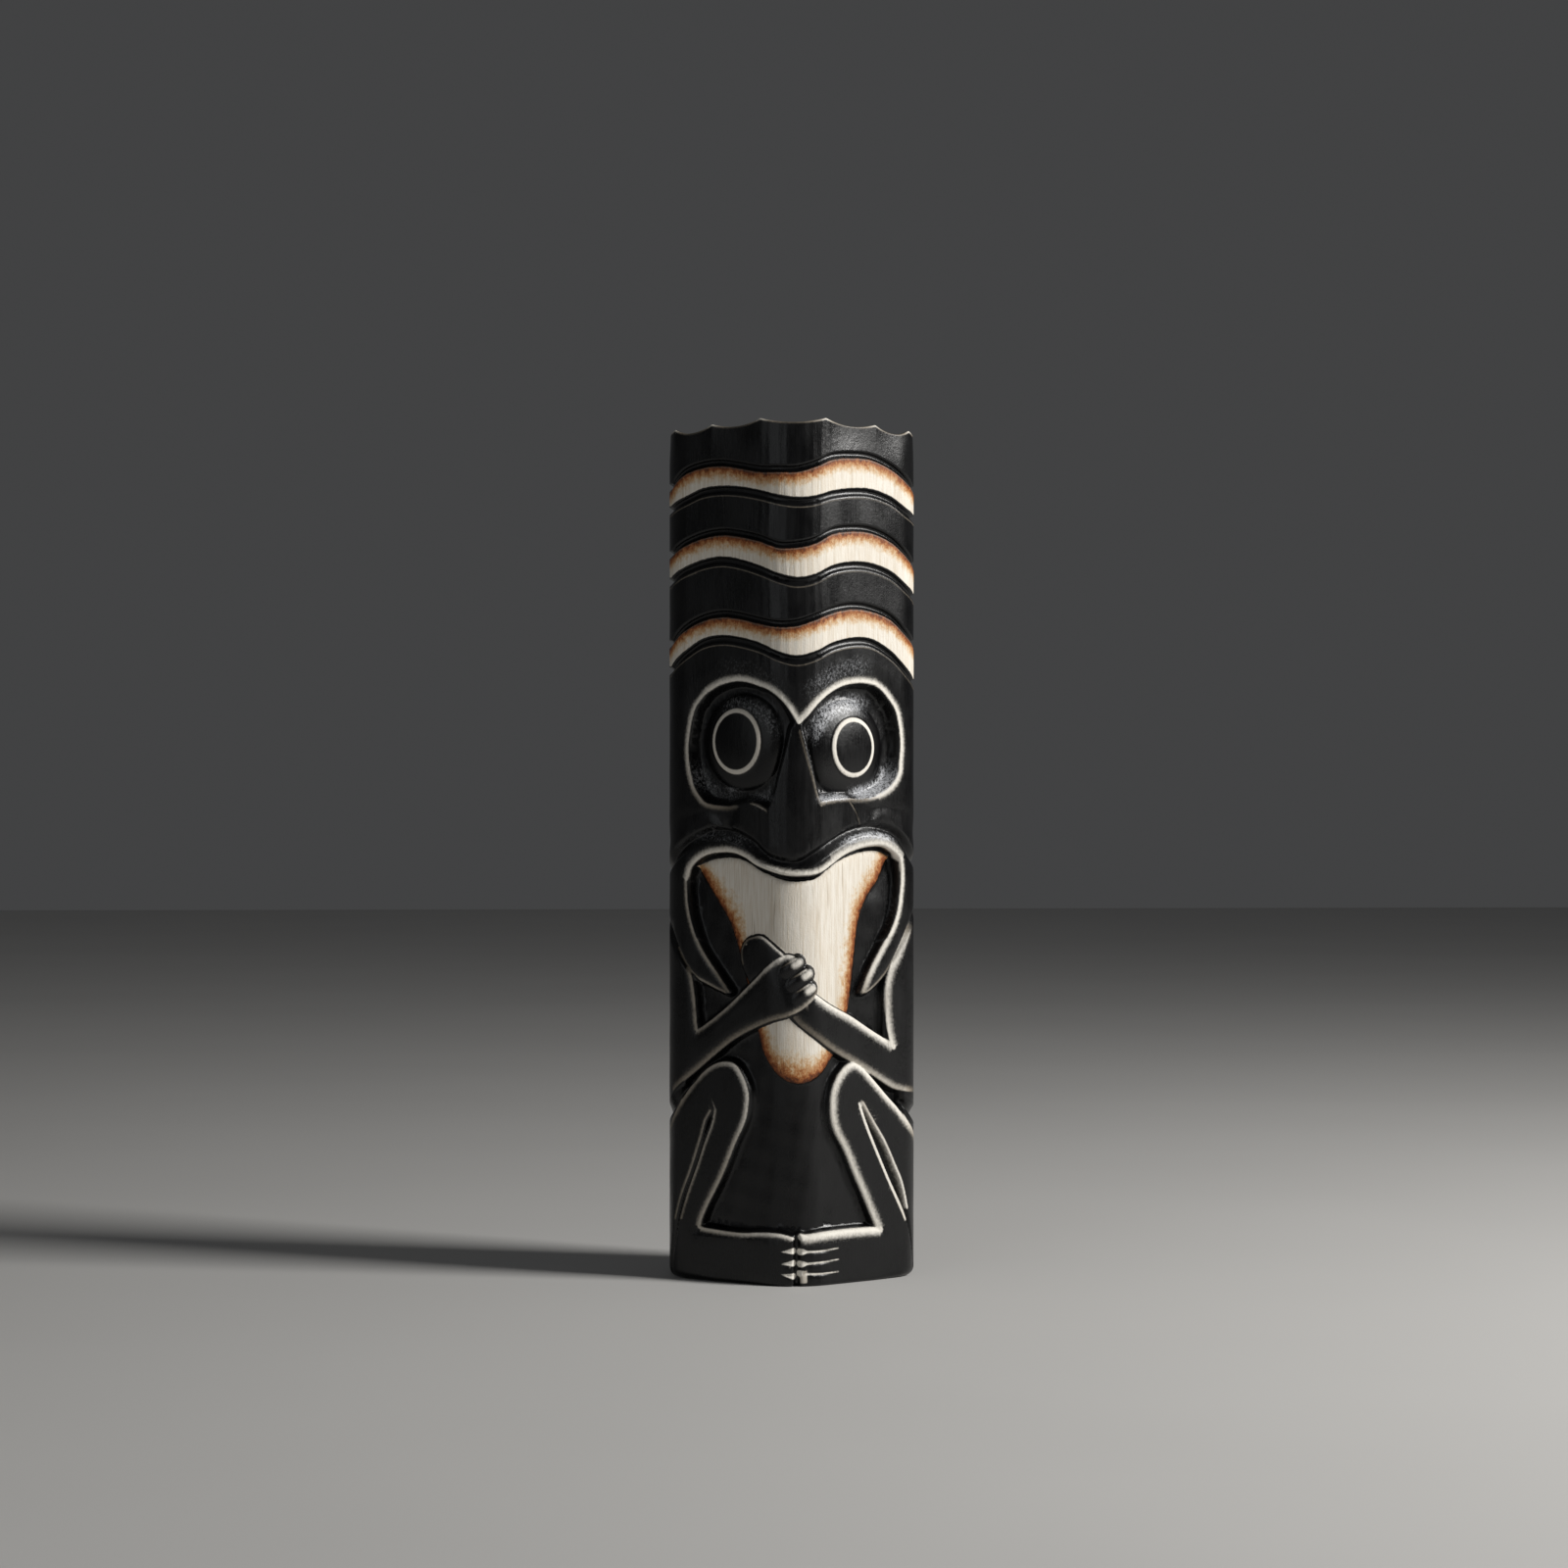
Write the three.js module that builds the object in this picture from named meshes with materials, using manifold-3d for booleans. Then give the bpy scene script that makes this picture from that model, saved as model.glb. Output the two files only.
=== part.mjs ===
// A tribal statue cast in resin as a carved and scorched log: a standing post, 500 mm tall, whose
// front is two flat faces meeting in a rounded ridge. From the top it carries a scooped rim, a banded
// headdress, a mask face with round eyes, a wide mouth with a hanging tongue, two arms with clasped
// hands, and drawn-up legs over a pair of feet.
//
// Millimetres, +Z up, the figure looks along -Y, the origin is the middle of the base.
//
// Everything is drawn on the post's skin laid out flat. "s" runs around the post from the ridge,
// positive to the figure's left, z runs up, and n is the height over the skin. Each form is
// extruded or swept in that flat space, then rolled around the post and joined to it or cut from it.

import * as THREE from 'three';
import { mergeVertices } from 'three/addons/utils/BufferGeometryUtils.js';
import Module from 'manifold-3d';

// Driving sizes of the post
const HEIGHT = 500;
const HALF_WIDTH = 72;
const RIDGE_RADIUS = 34;
const RIDGE_TURN = 33;      // degrees from the ridge's middle to a front face
const CORNER_RADIUS = 22;   // where a front face turns into a side
const FLANK_RADIUS = 48;
const FLANK_TURN = 60;      // degrees of the flank, before the flatter back
const BASE_CHAMFER = 2.5;

// The rim: one gouge scoop after another, cut slanting over the top edge between these crests
const RIM_SAG = 4;          // how far the rim is lower at the sides than at the ridge
const RIM_CRESTS = [-156.5, -119, -82, -55, -22.7, 18.5, 54, 80.4, 118, 156];
const SCOOP_DROP = 3;
const SCOOP_REACH = 10;     // how far a scoop runs in over the top

// The headdress: six V grooves, each a wave with a dip at the ridge and a hump over each eye
const GROOVE_FADE = 0.14;   // share of a groove's length over which it runs out at each end
const GROOVE_RUN = 122;     // how far around the post the grooves go
const HUMP_AT = 43;
const WAVE_END = 87;        // where the wave has come down from its hump
const WAVE_PLACES = [26, 34, HUMP_AT, 52, 62];
const BAND_GROOVES = [
  { dip: 470.6, hump: 480, end: 463.5 },
  { dip: 451.5, hump: 459, end: 447 },
  { dip: 426.9, hump: 437.7, end: 418.5 },
  { dip: 405.5, hump: 416.5, end: 402 },
  { dip: 381.9, hump: 392.5, end: 371.5 },
  { dip: 360.5, hump: 372, end: 351 },
];

// Heights of the carved levels, measured from the post's skin
const FLUSH = -0.12;        // a form that looks level with the skin, kept just under it
const CHEEK = -1.4;
const PUPIL = -1.3;
const HAND_BELOW = -2.4;
const TONGUE = -3.8;
const GAP_FLOOR = -4.5;
const GROUND = -7;
const SOCKET = -8;
const ROOT = -13;           // how deep a raised form is rooted in the post

// How far the crossing limbs sink from the edge of a front face to the ridge
const SINK_BELOW = 1.9;
const SINK_ABOVE = 1.1;
const SINK_LEG = 0.8;

// Chamfers on the edges of the raised forms, and how far the walls of the recesses lean out
const LIMB_CHAMFER = 2;
const TONGUE_CHAMFER = 1.6;
const JAW_CHAMFER = 1.4;
const FOOT_CHAMFER = 1.2;
const PUPIL_CHAMFER = 0.9;
const SOCKET_LEAN = 3;
const WALL_LEAN = 1.2;
const CHEEK_LEAN = 0.8;

// The gouges: half widths above and below the path, and depth
const GROOVE_GOUGE = { above: 1.7, below: 3.1, depth: 3, taperIn: GROOVE_FADE, taperOut: GROOVE_FADE };
const LIP_GOUGE = { above: 3, below: 5, depth: 4.2, taperIn: 0.12, taperOut: 0.12 };
const FINGER_GOUGE = { above: 1.3, below: 1.3, depth: 2 };
const TOE_GOUGE = { above: 1, below: 1, depth: 1.3 };
const FEET_GOUGE = { above: 1.7, below: 1.7, depth: 3.2 };
const SIDE_GOUGE = { above: 4, below: 4, depth: 5, taperOut: 0.7 };
const END_SHARE = 0.1;      // share of its depth that a tapered gouge has where it starts
const OVERSHOOT = 1.5;      // how far a gouge's tool stands over the skin
const CUTTER_TOP = 6;       // how far any other cutter stands over what it cuts

// How far the figure's right side lies out and up from a mirror image of its left, as carved by hand
const RIGHT_LIP = { out: 0, up: -1.5 };
const RIGHT_CHEEK = { out: -1, up: -3 };
const RIGHT_MOUTH = { out: -1, up: -2 };
const RIGHT_LEG = { out: 7.2, up: 1 };

const wasm = await Module();
wasm.setup();

const rad = THREE.MathUtils.degToRad;

// The skin of one half of the post, from the ridge to the middle of the back: arcs and one straight,
// each with the number of flat facets it is made in
function skinRuns() {
  const turn = rad(RIDGE_TURN);
  const faceReach = HALF_WIDTH - RIDGE_RADIUS * Math.sin(turn) - CORNER_RADIUS * (1 - Math.sin(turn));
  const flankEnd = Math.cos(rad(FLANK_TURN));
  const backRadius = (HALF_WIDTH - FLANK_RADIUS * (1 - flankEnd)) / flankEnd;
  return [
    { radius: RIDGE_RADIUS, turn, columns: 3 },
    { length: faceReach / Math.cos(turn), turn: 0, columns: 1 },
    { radius: CORNER_RADIUS, turn: Math.PI / 2 - turn, columns: 4 },
    { radius: FLANK_RADIUS, turn: rad(FLANK_TURN), columns: 4 },
    { radius: backRadius, turn: Math.PI / 2 - rad(FLANK_TURN), columns: 3 },
  ];
}

// Each run with where it starts: place on the skin, position and heading
function laidRuns() {
  let s = 0;
  let x = 0;
  let y = 0;
  let heading = 0;
  return skinRuns().map((run) => {
    const length = run.length ?? run.radius * run.turn;
    const laid = { ...run, length, s, x, y, heading };
    const end = pointOnRun(laid, length);
    s += length;
    x = end.x;
    y = end.y;
    heading += run.turn;
    return laid;
  });
}

function pointOnRun(run, along) {
  const { x, y, heading, radius } = run;
  if (!radius) {
    return { x: x + along * Math.cos(heading), y: y + along * Math.sin(heading), heading };
  }
  const turned = heading + along / radius;
  return {
    x: x + radius * (Math.sin(turned) - Math.sin(heading)),
    y: y + radius * (Math.cos(heading) - Math.cos(turned)),
    heading: turned,
  };
}

const runs = laidRuns();
const lastRun = runs[runs.length - 1];
const HALF_SKIN = lastRun.s + lastRun.length;
const DEPTH = pointOnRun(lastRun, lastRun.length).y;

// Places on the skin where the post's facets meet
const columns = runs.flatMap((run) => {
  const places = [];
  for (let i = 0; i < run.columns; i++) places.push(run.s + (run.length * i) / run.columns);
  return places;
});
const allColumns = [...columns.slice(1).map((s) => -s).reverse(), ...columns];
const FACE_EDGE = runs[2].s; // where a flat front face ends

// A place on the skin laid flat, as a point around the post. It lies along the chord of the facet
// that holds s, so that every form follows the same flat facets.
function rolled(s, z, n) {
  const reach = Math.min(Math.abs(s), HALF_SKIN);
  const side = Math.sign(s) || 1;
  const stops = [...columns, HALF_SKIN];
  const next = Math.max(1, stops.findIndex((stop) => stop >= reach - 1e-6));
  const [from, to] = [skinPoint(stops[next - 1]), skinPoint(stops[next])];
  const share = (reach - stops[next - 1]) / (stops[next] - stops[next - 1]);
  const mix = (key) => (from[key] * (1 - share) + to[key] * share);
  return new THREE.Vector3(
    side * (mix('x') + n * mix('nx')),
    mix('y') + n * mix('ny') - DEPTH / 2,
    z,
  );
}

// Where the skin is at s, and which way it faces there
function skinPoint(s) {
  const run = runs.findLast((r) => r.s <= s + 1e-9);
  const { x, y, heading } = pointOnRun(run, s - run.s);
  return { x, y, nx: Math.sin(heading), ny: -Math.cos(heading) };
}

// A geometry as vertices and triangles that share their vertices
function indexed(geometry) {
  geometry.deleteAttribute('normal');
  geometry.deleteAttribute('uv');
  const merged = mergeVertices(geometry, 1e-4);
  const points = [];
  for (let i = 0; i < merged.attributes.position.count; i++) {
    points.push(new THREE.Vector3().fromBufferAttribute(merged.attributes.position, i));
  }
  const faces = [];
  for (let i = 0; i < merged.index.count; i += 3) {
    faces.push([0, 1, 2].map((k) => merged.index.getX(i + k)));
  }
  return { points, faces };
}

// Splits the triangles that cross a facet's edge, so that they bend there when they are rolled
function splitAtColumn({ points, faces }, column) {
  const near = 0.05;
  for (const p of points) if (Math.abs(p.x - column) < near) p.x = column;
  const side = (i) => Math.sign(points[i].x - column);
  const middles = new Map();
  const middle = (a, b) => {
    const key = a < b ? `${a},${b}` : `${b},${a}`;
    if (!middles.has(key)) {
      const share = (column - points[a].x) / (points[b].x - points[a].x);
      const made = points[a].clone().lerp(points[b], share);
      made.x = column;
      middles.set(key, points.push(made) - 1);
    }
    return middles.get(key);
  };
  const cut = faces.flatMap((face) => {
    const sides = face.map(side);
    if (!(sides.includes(1) && sides.includes(-1))) return [face];
    const touching = sides.indexOf(0);
    const alone = sides.findIndex((v) => sides.filter((w) => w === v).length === 1 && v !== 0);
    const start = touching >= 0 ? touching : alone;
    const [a, b, c] = [face[start], face[(start + 1) % 3], face[(start + 2) % 3]];
    if (touching >= 0) {
      const m = middle(b, c);
      return [[a, b, m], [a, m, c]];
    }
    const [m, k] = [middle(a, b), middle(a, c)];
    return [[a, m, k], [m, b, k], [b, c, k]];
  });
  return { points, faces: cut };
}

function toManifold(points, faces) {
  const vertProperties = new Float32Array(points.flatMap((p) => [p.x, p.y, p.z]));
  const triVerts = new Uint32Array(faces.flat());
  return new wasm.Manifold(new wasm.Mesh({ numProp: 3, vertProperties, triVerts }));
}

// Rolls a flat form (x along s, y up, z over the skin) around the post. The form may sink
// towards the ridge by `sink`.
function roll(geometry, sink = 0) {
  let form = indexed(geometry);
  for (const column of allColumns) form = splitAtColumn(form, column);
  const sunk = (s) => sink * Math.max(0, 1 - Math.abs(s) / FACE_EDGE);
  return toManifold(form.points.map((p) => rolled(p.x, p.y, p.z - sunk(p.x))), form.faces);
}

// A closed outline from runs of points: smooth along a run, with a corner between two runs
function outline(...smoothRuns) {
  const shape = new THREE.Shape();
  const all = smoothRuns.map((run) => run.map(([s, z]) => new THREE.Vector2(s, z)));
  shape.moveTo(all[0][0].x, all[0][0].y);
  for (const run of all) {
    if (!shape.currentPoint.equals(run[0])) shape.lineTo(run[0].x, run[0].y);
    if (run.length > 2) shape.splineThru(run.slice(1));
    else if (run.length === 2) shape.lineTo(run[1].x, run[1].y);
  }
  return shape;
}

// The figure's right side from an outline on its left
function mirrored(points, { out = 0, up = 0 } = {}) {
  return points.map(([s, z]) => [-s - out, z + up]).reverse();
}

const corners = (points) => points.map((corner) => [corner]);

// A raised form with its top at a level and its edge chamfered by `chamfer`
function raised(shape, top, chamfer, { sink = 0, fine = 2 } = {}) {
  const geometry = new THREE.ExtrudeGeometry(shape, {
    depth: top - ROOT - 2 * chamfer,
    bevelThickness: chamfer,
    bevelSize: chamfer,
    bevelOffset: -chamfer,
    bevelSegments: 1,
    curveSegments: fine,
  });
  geometry.translate(0, 0, ROOT + chamfer);
  return roll(geometry, sink);
}

// A cutter with a flat floor at a level and walls that lean out by `lean`
function recess(shape, floor, lean, fine = 2) {
  const geometry = new THREE.ExtrudeGeometry(shape, {
    depth: CUTTER_TOP,
    bevelThickness: -floor,
    bevelSize: lean,
    bevelOffset: -lean,
    bevelSegments: 1,
    curveSegments: fine,
  });
  return roll(geometry);
}

// A V-shaped gouge cut along a path. It may taper in and out over a share of its path. An upright
// gouge is measured straight up and down, any other square to its path.
function gouge(path, { above, below, depth, taperIn = 0, taperOut = 0, upright = false }) {
  const points = [];
  const faces = [];
  const last = path.length - 1;
  path.forEach(([s, z], i) => {
    const [before, after] = [path[Math.max(0, i - 1)], path[Math.min(last, i + 1)]];
    const along = new THREE.Vector2(after[0] - before[0], after[1] - before[1]).normalize();
    const up = upright ? new THREE.Vector2(0, 1) : new THREE.Vector2(-along.y, along.x);
    const grown = taperIn ? i / last / taperIn + END_SHARE : 1;
    const left = taperOut ? (last - i) / last / taperOut + END_SHARE : 1;
    const full = Math.min(1, grown, left);
    const grow = full * (1 + OVERSHOOT / depth);
    points.push(
      new THREE.Vector3(s + up.x * above * grow, z + up.y * above * grow, OVERSHOOT * full),
      new THREE.Vector3(s, z, -depth * full),
      new THREE.Vector3(s - up.x * below * grow, z - up.y * below * grow, OVERSHOOT * full),
    );
    if (i === 0) return;
    for (const k of [0, 1, 2]) {
      const [a, b] = [3 * i - 3 + k, 3 * i - 3 + ((k + 1) % 3)];
      faces.push([a, b + 3, b], [a, a + 3, b + 3]);
    }
  });
  faces.push([0, 1, 2], [3 * last, 3 * last + 2, 3 * last + 1]);
  const geometry = new THREE.BufferGeometry().setFromPoints(points);
  geometry.setIndex(faces.flat());
  return roll(geometry);
}

// A smooth path through a few points, as evenly spaced points
function smooth(points, count) {
  const curve = new THREE.SplineCurve(points.map(([s, z]) => new THREE.Vector2(s, z)));
  return curve.getSpacedPoints(count).map((p) => [p.x, p.y]);
}

// The plain post, from a chamfered foot to the top
function post() {
  const around = [...allColumns, HALF_SKIN];
  const rings = [
    around.map((s) => rolled(s, 0, -BASE_CHAMFER)),
    around.map((s) => rolled(s, BASE_CHAMFER, 0)),
    around.map((s) => rolled(s, rimHeight(s), 0)),
  ];
  const points = rings.flat();
  const count = around.length;
  const faces = [];
  for (let ring = 0; ring + 1 < rings.length; ring++) {
    for (let i = 0; i < count; i++) {
      const [a, b] = [ring * count + i, ring * count + ((i + 1) % count)];
      faces.push([a, b, b + count], [a, b + count, a + count]);
    }
  }
  const footMiddle = points.push(new THREE.Vector3(0, 0, 0)) - 1;
  const topMiddle = points.push(new THREE.Vector3(0, 0, HEIGHT - RIM_SAG / 2)) - 1;
  const topRing = (rings.length - 1) * count;
  for (let i = 0; i < count; i++) {
    const next = (i + 1) % count;
    faces.push([next, i, footMiddle], [topRing + i, topRing + next, topMiddle]);
  }
  return toManifold(points, faces);
}

const rimHeight = (s) => HEIGHT - RIM_SAG * Math.min(1, (s / HALF_WIDTH) ** 2);

// The scoops, as a slanting gouge would leave them between two crests
function scoops(body) {
  const crests = [-HALF_SKIN, ...RIM_CRESTS, HALF_SKIN];
  for (let i = 1; i < crests.length; i++) {
    const [from, to] = [crests[i - 1], crests[i]];
    const [low, high] = [rimHeight(from), rimHeight(to)];
    const shape = new THREE.Shape();
    shape.moveTo(from, low);
    shape.quadraticCurveTo((from + to) / 2, (low + high) / 2 - 2 * SCOOP_DROP, to, high);
    shape.lineTo(to, high + CUTTER_TOP);
    shape.lineTo(from, low + CUTTER_TOP);
    const cutter = new THREE.ExtrudeGeometry(shape, {
      depth: SCOOP_REACH + OVERSHOOT,
      bevelEnabled: false,
      curveSegments: 4,
    });
    cutter.translate(0, 0, -SCOOP_REACH);
    cutter.applyMatrix4(new THREE.Matrix4().makeShear(0, 0, 0, 0, 0, -SCOOP_DROP / SCOOP_REACH));
    body = body.subtract(roll(cutter));
  }
  return body;
}

// A headdress groove's height at a place on the skin
function wave({ dip, hump, end }, s) {
  const reach = Math.abs(s);
  if (reach < HUMP_AT) {
    return dip + (hump - dip) * (0.5 - 0.5 * Math.cos((Math.PI * reach) / HUMP_AT));
  }
  const fall = Math.min(1, (reach - HUMP_AT) / (WAVE_END - HUMP_AT));
  return hump - (hump - end) * (1 - Math.cos((Math.PI / 2) * fall));
}

function headdress(body) {
  const onFaces = WAVE_PLACES.flatMap((s) => [s, -s]);
  const around = [...allColumns.filter((s) => Math.abs(s) < GROOVE_RUN), ...onFaces].sort((a, b) => a - b);
  for (const band of BAND_GROOVES) {
    const path = around.map((s) => [s, wave(band, s)]);
    body = body.subtract(gouge(path, { ...GROOVE_GOUGE, upright: true }));
  }
  return body;
}

// An eye: the socket under the brow, the round mound in it and the pupil's low disc
const LEFT_SOCKET = [
  [[1.5, 324], [11.5, 335], [24, 344.2], [43, 348.5], [58, 345.5], [69.5, 333.5], [74, 312]],
  [[74, 312], [71.5, 295.5], [62, 284], [48, 280], [32, 279.8], [15.4, 277]],
];
const RIGHT_SOCKET = [
  [[-18.5, 272.8], [-32, 277], [-46, 275.5], [-60, 277.5], [-69, 290], [-72, 310]],
  [[-72, 310], [-67.5, 333], [-55, 345], [-38, 349.6], [-20, 345.3], [-9, 338.3], [1.2, 324]],
];
const EYES = [
  { socket: LEFT_SOCKET, s: 40, z: 310, wide: 15.4, tall: 17.2 },
  { socket: RIGHT_SOCKET, s: -40, z: 313.6, wide: 16.4, tall: 18.8 },
];
const MOUND = { s: 36, wide: 28, tall: 29.5, high: 9, top: -2.2 };

function eyes(body) {
  for (const { socket, s, z, wide, tall } of EYES) {
    const mound = new THREE.SphereGeometry(1, 16, 8);
    mound.scale(MOUND.wide, MOUND.tall, MOUND.high);
    mound.translate(Math.sign(s) * MOUND.s, z, MOUND.top - MOUND.high);
    const disc = new THREE.Shape();
    disc.absellipse(s, z, wide, tall, 0, 2 * Math.PI);
    body = body
      .subtract(recess(outline(...socket), SOCKET, SOCKET_LEAN))
      .add(roll(mound))
      .add(raised(disc, PUPIL, PUPIL_CHAMFER, { fine: 10 }));
  }
  return body;
}

// The face under the eyes: cheeks set back beside the nose's wings, and the cut over the lip
const LIP_CUT = [
  [0, 243.4], [11, 247.7], [24, 256], [38, 262], [51, 264], [65, 261.4], [79, 251.5], [96, 244], [114, 240],
];
const LEFT_CHEEK = [
  [36, 279], [41, 270], [45, 261], [66, 257], [92, 247], [110, 243], [104, 262], [84, 278], [60, 282.6],
];

function faceUnderEyes(body) {
  const lipCut = [...mirrored(LIP_CUT.slice(1), RIGHT_LIP), ...LIP_CUT];
  for (const cheek of [LEFT_CHEEK, mirrored(LEFT_CHEEK, RIGHT_CHEEK)]) {
    body = body.subtract(recess(outline(cheek), CHEEK, CHEEK_LEAN, 1));
  }
  return body.subtract(gouge(lipCut, LIP_GOUGE));
}

// The mouth and the whole front below it are cut back to the ground, and the forms stand on it
const LIP_LINE = [
  [1, 236.8], [15.7, 239.6], [30.3, 248.7], [44, 253], [58, 254], [68, 250.3], [73.5, 243], [73.6, 230],
];
const GROUND_SIDE = [[75, 160], [75, 70], [72, 29]];

function mouthAndGround(body) {
  const ground = outline(
    [...mirrored(LIP_LINE.slice(1), RIGHT_MOUTH), ...LIP_LINE],
    ...corners(GROUND_SIDE),
    ...corners(mirrored(GROUND_SIDE)),
  );
  return body.subtract(recess(ground, GROUND, WALL_LEAN));
}

// The tongue hangs from under the lip to between the knees
const TONGUE_TOP = [
  [-60, 242.5], [-46, 244], [-30, 240.5], [-14, 234], [0, 231.5], [15, 234.5], [30, 243.5], [45, 248.5],
  [60, 247],
];
const TONGUE_HANG = [
  [56, 231], [46.5, 211], [42.8, 195], [40.8, 179], [36, 158], [27.5, 133], [19, 122.7], [9, 117.7],
  [0, 116.7], [-9, 119], [-17, 125.2], [-23, 134],
];
const TONGUE_RIGHT = [[-38.4, 190], [-45.2, 207.3], [-54, 221.5]];

function tongue(body) {
  const shape = outline(TONGUE_TOP, TONGUE_HANG, TONGUE_RIGHT);
  return body.add(raised(shape, TONGUE, TONGUE_CHAMFER, { fine: 1 }));
}

// The jaw band runs from the notch under the cheek down both sides of the mouth to a point
const JAW_INNER = [[66, 254], [73.4, 248], [75.8, 240], [75.4, 228], [72.6, 211], [64, 195], [54, 180.5]];
const JAW_TIP = [[44.5, 166.5], [48.5, 165.5]];
const JAW_OUTER = [[60, 175.5], [69, 184.5], [80, 197]];
const JAW_SIDE = [[90, 210], [90, 236], [78, 252]];

function jaw(body) {
  const left = [JAW_INNER, JAW_TIP, JAW_OUTER, ...corners(JAW_SIDE)];
  const right = left.map((run) => mirrored(run, RIGHT_MOUTH)).reverse();
  for (const side of [left, right]) {
    body = body.add(raised(outline(...side), FLUSH, JAW_CHAMFER, { fine: 1 }));
  }
  return body;
}

// Arms: the upper arms lie on the sides, and the figure's right hand closes over its left wrist.
// Each outline runs along the forearm's upper edge, up the arm's inner edge and back underneath.
const ARM_BELOW = [
  [[6, 171], [24, 159.7], [51, 145.2], [64, 137.5]],
  [[63.4, 157], [63.8, 171], [66, 183], [74, 200]],
  [[90, 200], [90, 116]],
  [[76, 110.3], [64, 113.6], [42, 126.8], [14.7, 142.4], [-4, 156]],
];
const ARM_ABOVE = [
  [[-10, 188.5], [-28, 174.2], [-44, 159.8], [-64, 145.6]],
  [[-66.2, 160], [-67, 174], [-70, 186], [-77, 200]],
  [[-90, 200], [-90, 108]],
  [[-78, 113], [-54, 132.2], [-28, 148.4], [-4, 156.5]],
];
const LEFT_HAND = [
  [-4, 182], [-10, 192.5], [-18, 198], [-27, 200.8], [-34, 197.5], [-36.5, 190], [-33, 179],
];
const FIST = [
  [-20, 181], [-13, 187], [-4, 190.2], [2, 186.5], [7.5, 180], [10.5, 171.5], [6.5, 162.8], [-2, 157],
  [-14, 153.6],
];
const FINGER_CUTS = [
  [[3.6, 184.6], [-9, 176.5]],
  [[8.8, 177], [-6.5, 167.8]],
  [[9.8, 168], [-1.5, 161.5]],
];

function arms(body) {
  const below = raised(outline(...ARM_BELOW), FLUSH, LIMB_CHAMFER, { sink: SINK_BELOW, fine: 1 });
  const above = raised(outline(...ARM_ABOVE), FLUSH, LIMB_CHAMFER, { sink: SINK_ABOVE, fine: 1 });
  body = body
    .add(raised(outline(LEFT_HAND), HAND_BELOW, LIMB_CHAMFER, { fine: 1 }))
    .add(below)
    .add(above)
    .add(raised(outline(FIST), FLUSH, LIMB_CHAMFER, { fine: 1 }));
  for (const cut of FINGER_CUTS) body = body.subtract(gouge(cut, FINGER_GOUGE));
  return body;
}

// Legs: knees at the front, shins down to the feet, thighs going back along the sides
const LEG_INNER = [
  [56.5, 29], [47, 50.6], [33.6, 77.5], [26, 89.5], [23.8, 100], [26, 114], [33, 124], [41, 125.4],
  [54, 114.3], [78, 91],
];
const LEG_SIDE = [[90, 80], [90, 20], [60, 16]];
const THIGH_GAPS = [
  [
    [[80.5, 34], [76, 52], [67.6, 68], [60.8, 80], [52.5, 93], [44.5, 104.5]],
    [[42.4, 103.5], [50, 85], [57, 71.5], [70.5, 45.5], [76.5, 33]],
    [[84, -3], [89, -3]],
  ],
  [
    [[-83, 30], [-76.4, 48.2], [-69.6, 64], [-63.4, 82], [-59.4, 93], [-55.6, 99.4]],
    [[-52.8, 99.4], [-54.3, 91], [-59.4, 79], [-64.4, 66], [-70.7, 50.7], [-76.8, 33]],
    [[-84, -3], [-89, -3]],
  ],
];

function legs(body) {
  const left = [LEG_INNER, ...corners(LEG_SIDE)];
  const right = left.map((run) => mirrored(run, RIGHT_LEG)).reverse();
  for (const side of [left, right]) {
    body = body.add(raised(outline(...side), FLUSH, LIMB_CHAMFER, { sink: SINK_LEG, fine: 1 }));
  }
  for (const gap of THIGH_GAPS) body = body.subtract(recess(outline(...gap), GAP_FLOOR, WALL_LEAN, 1));
  return body;
}

// Feet: one low block across the front, split at the ridge, with cuts between the toes
const FOOT_BLOCK = [
  [-82, 2], [-82, 26], [-63.5, 30.2], [-30, 28.6], [0, 29.3], [30, 29.6], [58, 29.2], [82, 26], [82, 2],
];
const TOE_HEIGHTS = [20.3, 13.2, 6.4];
const TOE_CUTS = [[2.2, 25], [-9.5, -1.4]];
const FEET_SPLIT = [[0, 32], [0, -4]];

function feet(body) {
  body = body.add(raised(outline(...corners(FOOT_BLOCK)), FLUSH, FOOT_CHAMFER));
  for (const z of TOE_HEIGHTS) {
    for (const [from, to] of TOE_CUTS) body = body.subtract(gouge([[from, z], [to, z]], TOE_GOUGE));
  }
  return body.subtract(gouge(FEET_SPLIT, FEET_GOUGE));
}

// The cuts that part jaw, arm and leg go on around the sides and run out behind them
const SIDE_CUTS = [
  [[63, 178], [75, 191.5], [84, 203], [118, 224]],
  [[-63, 174], [-73, 185], [-83, 197], [-118, 220]],
  [[64, 106.5], [76, 102], [88, 96], [118, 87]],
  [[-64, 118.5], [-75, 110.5], [-84, 102.5], [-118, 88]],
];

function sideCuts(body) {
  for (const cut of SIDE_CUTS) body = body.subtract(gouge(smooth(cut, 4), SIDE_GOUGE));
  return body;
}

function toMesh(name, solid, material) {
  const { numProp, vertProperties, triVerts } = solid.getMesh();
  const geometry = new THREE.BufferGeometry();
  geometry.setAttribute('position', new THREE.InterleavedBufferAttribute(
    new THREE.InterleavedBuffer(vertProperties, numProp), 3, 0,
  ));
  geometry.setIndex(Array.from(triVerts));
  const mesh = new THREE.Mesh(geometry, material);
  mesh.name = name;
  return mesh;
}

const blackFinish = new THREE.MeshStandardMaterial({ color: 0x14151a, roughness: 0.45, metalness: 0 });

// The carving in the order a carver would take it, each step working on the last one's result
const steps = [
  scoops, headdress, eyes, faceUnderEyes, mouthAndGround, tongue, jaw, arms, legs, feet, sideCuts,
];
const statue = steps.reduce((body, step) => step(body), post());

const group = new THREE.Group();
group.add(toMesh('statue', statue, blackFinish));

export default group;
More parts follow.
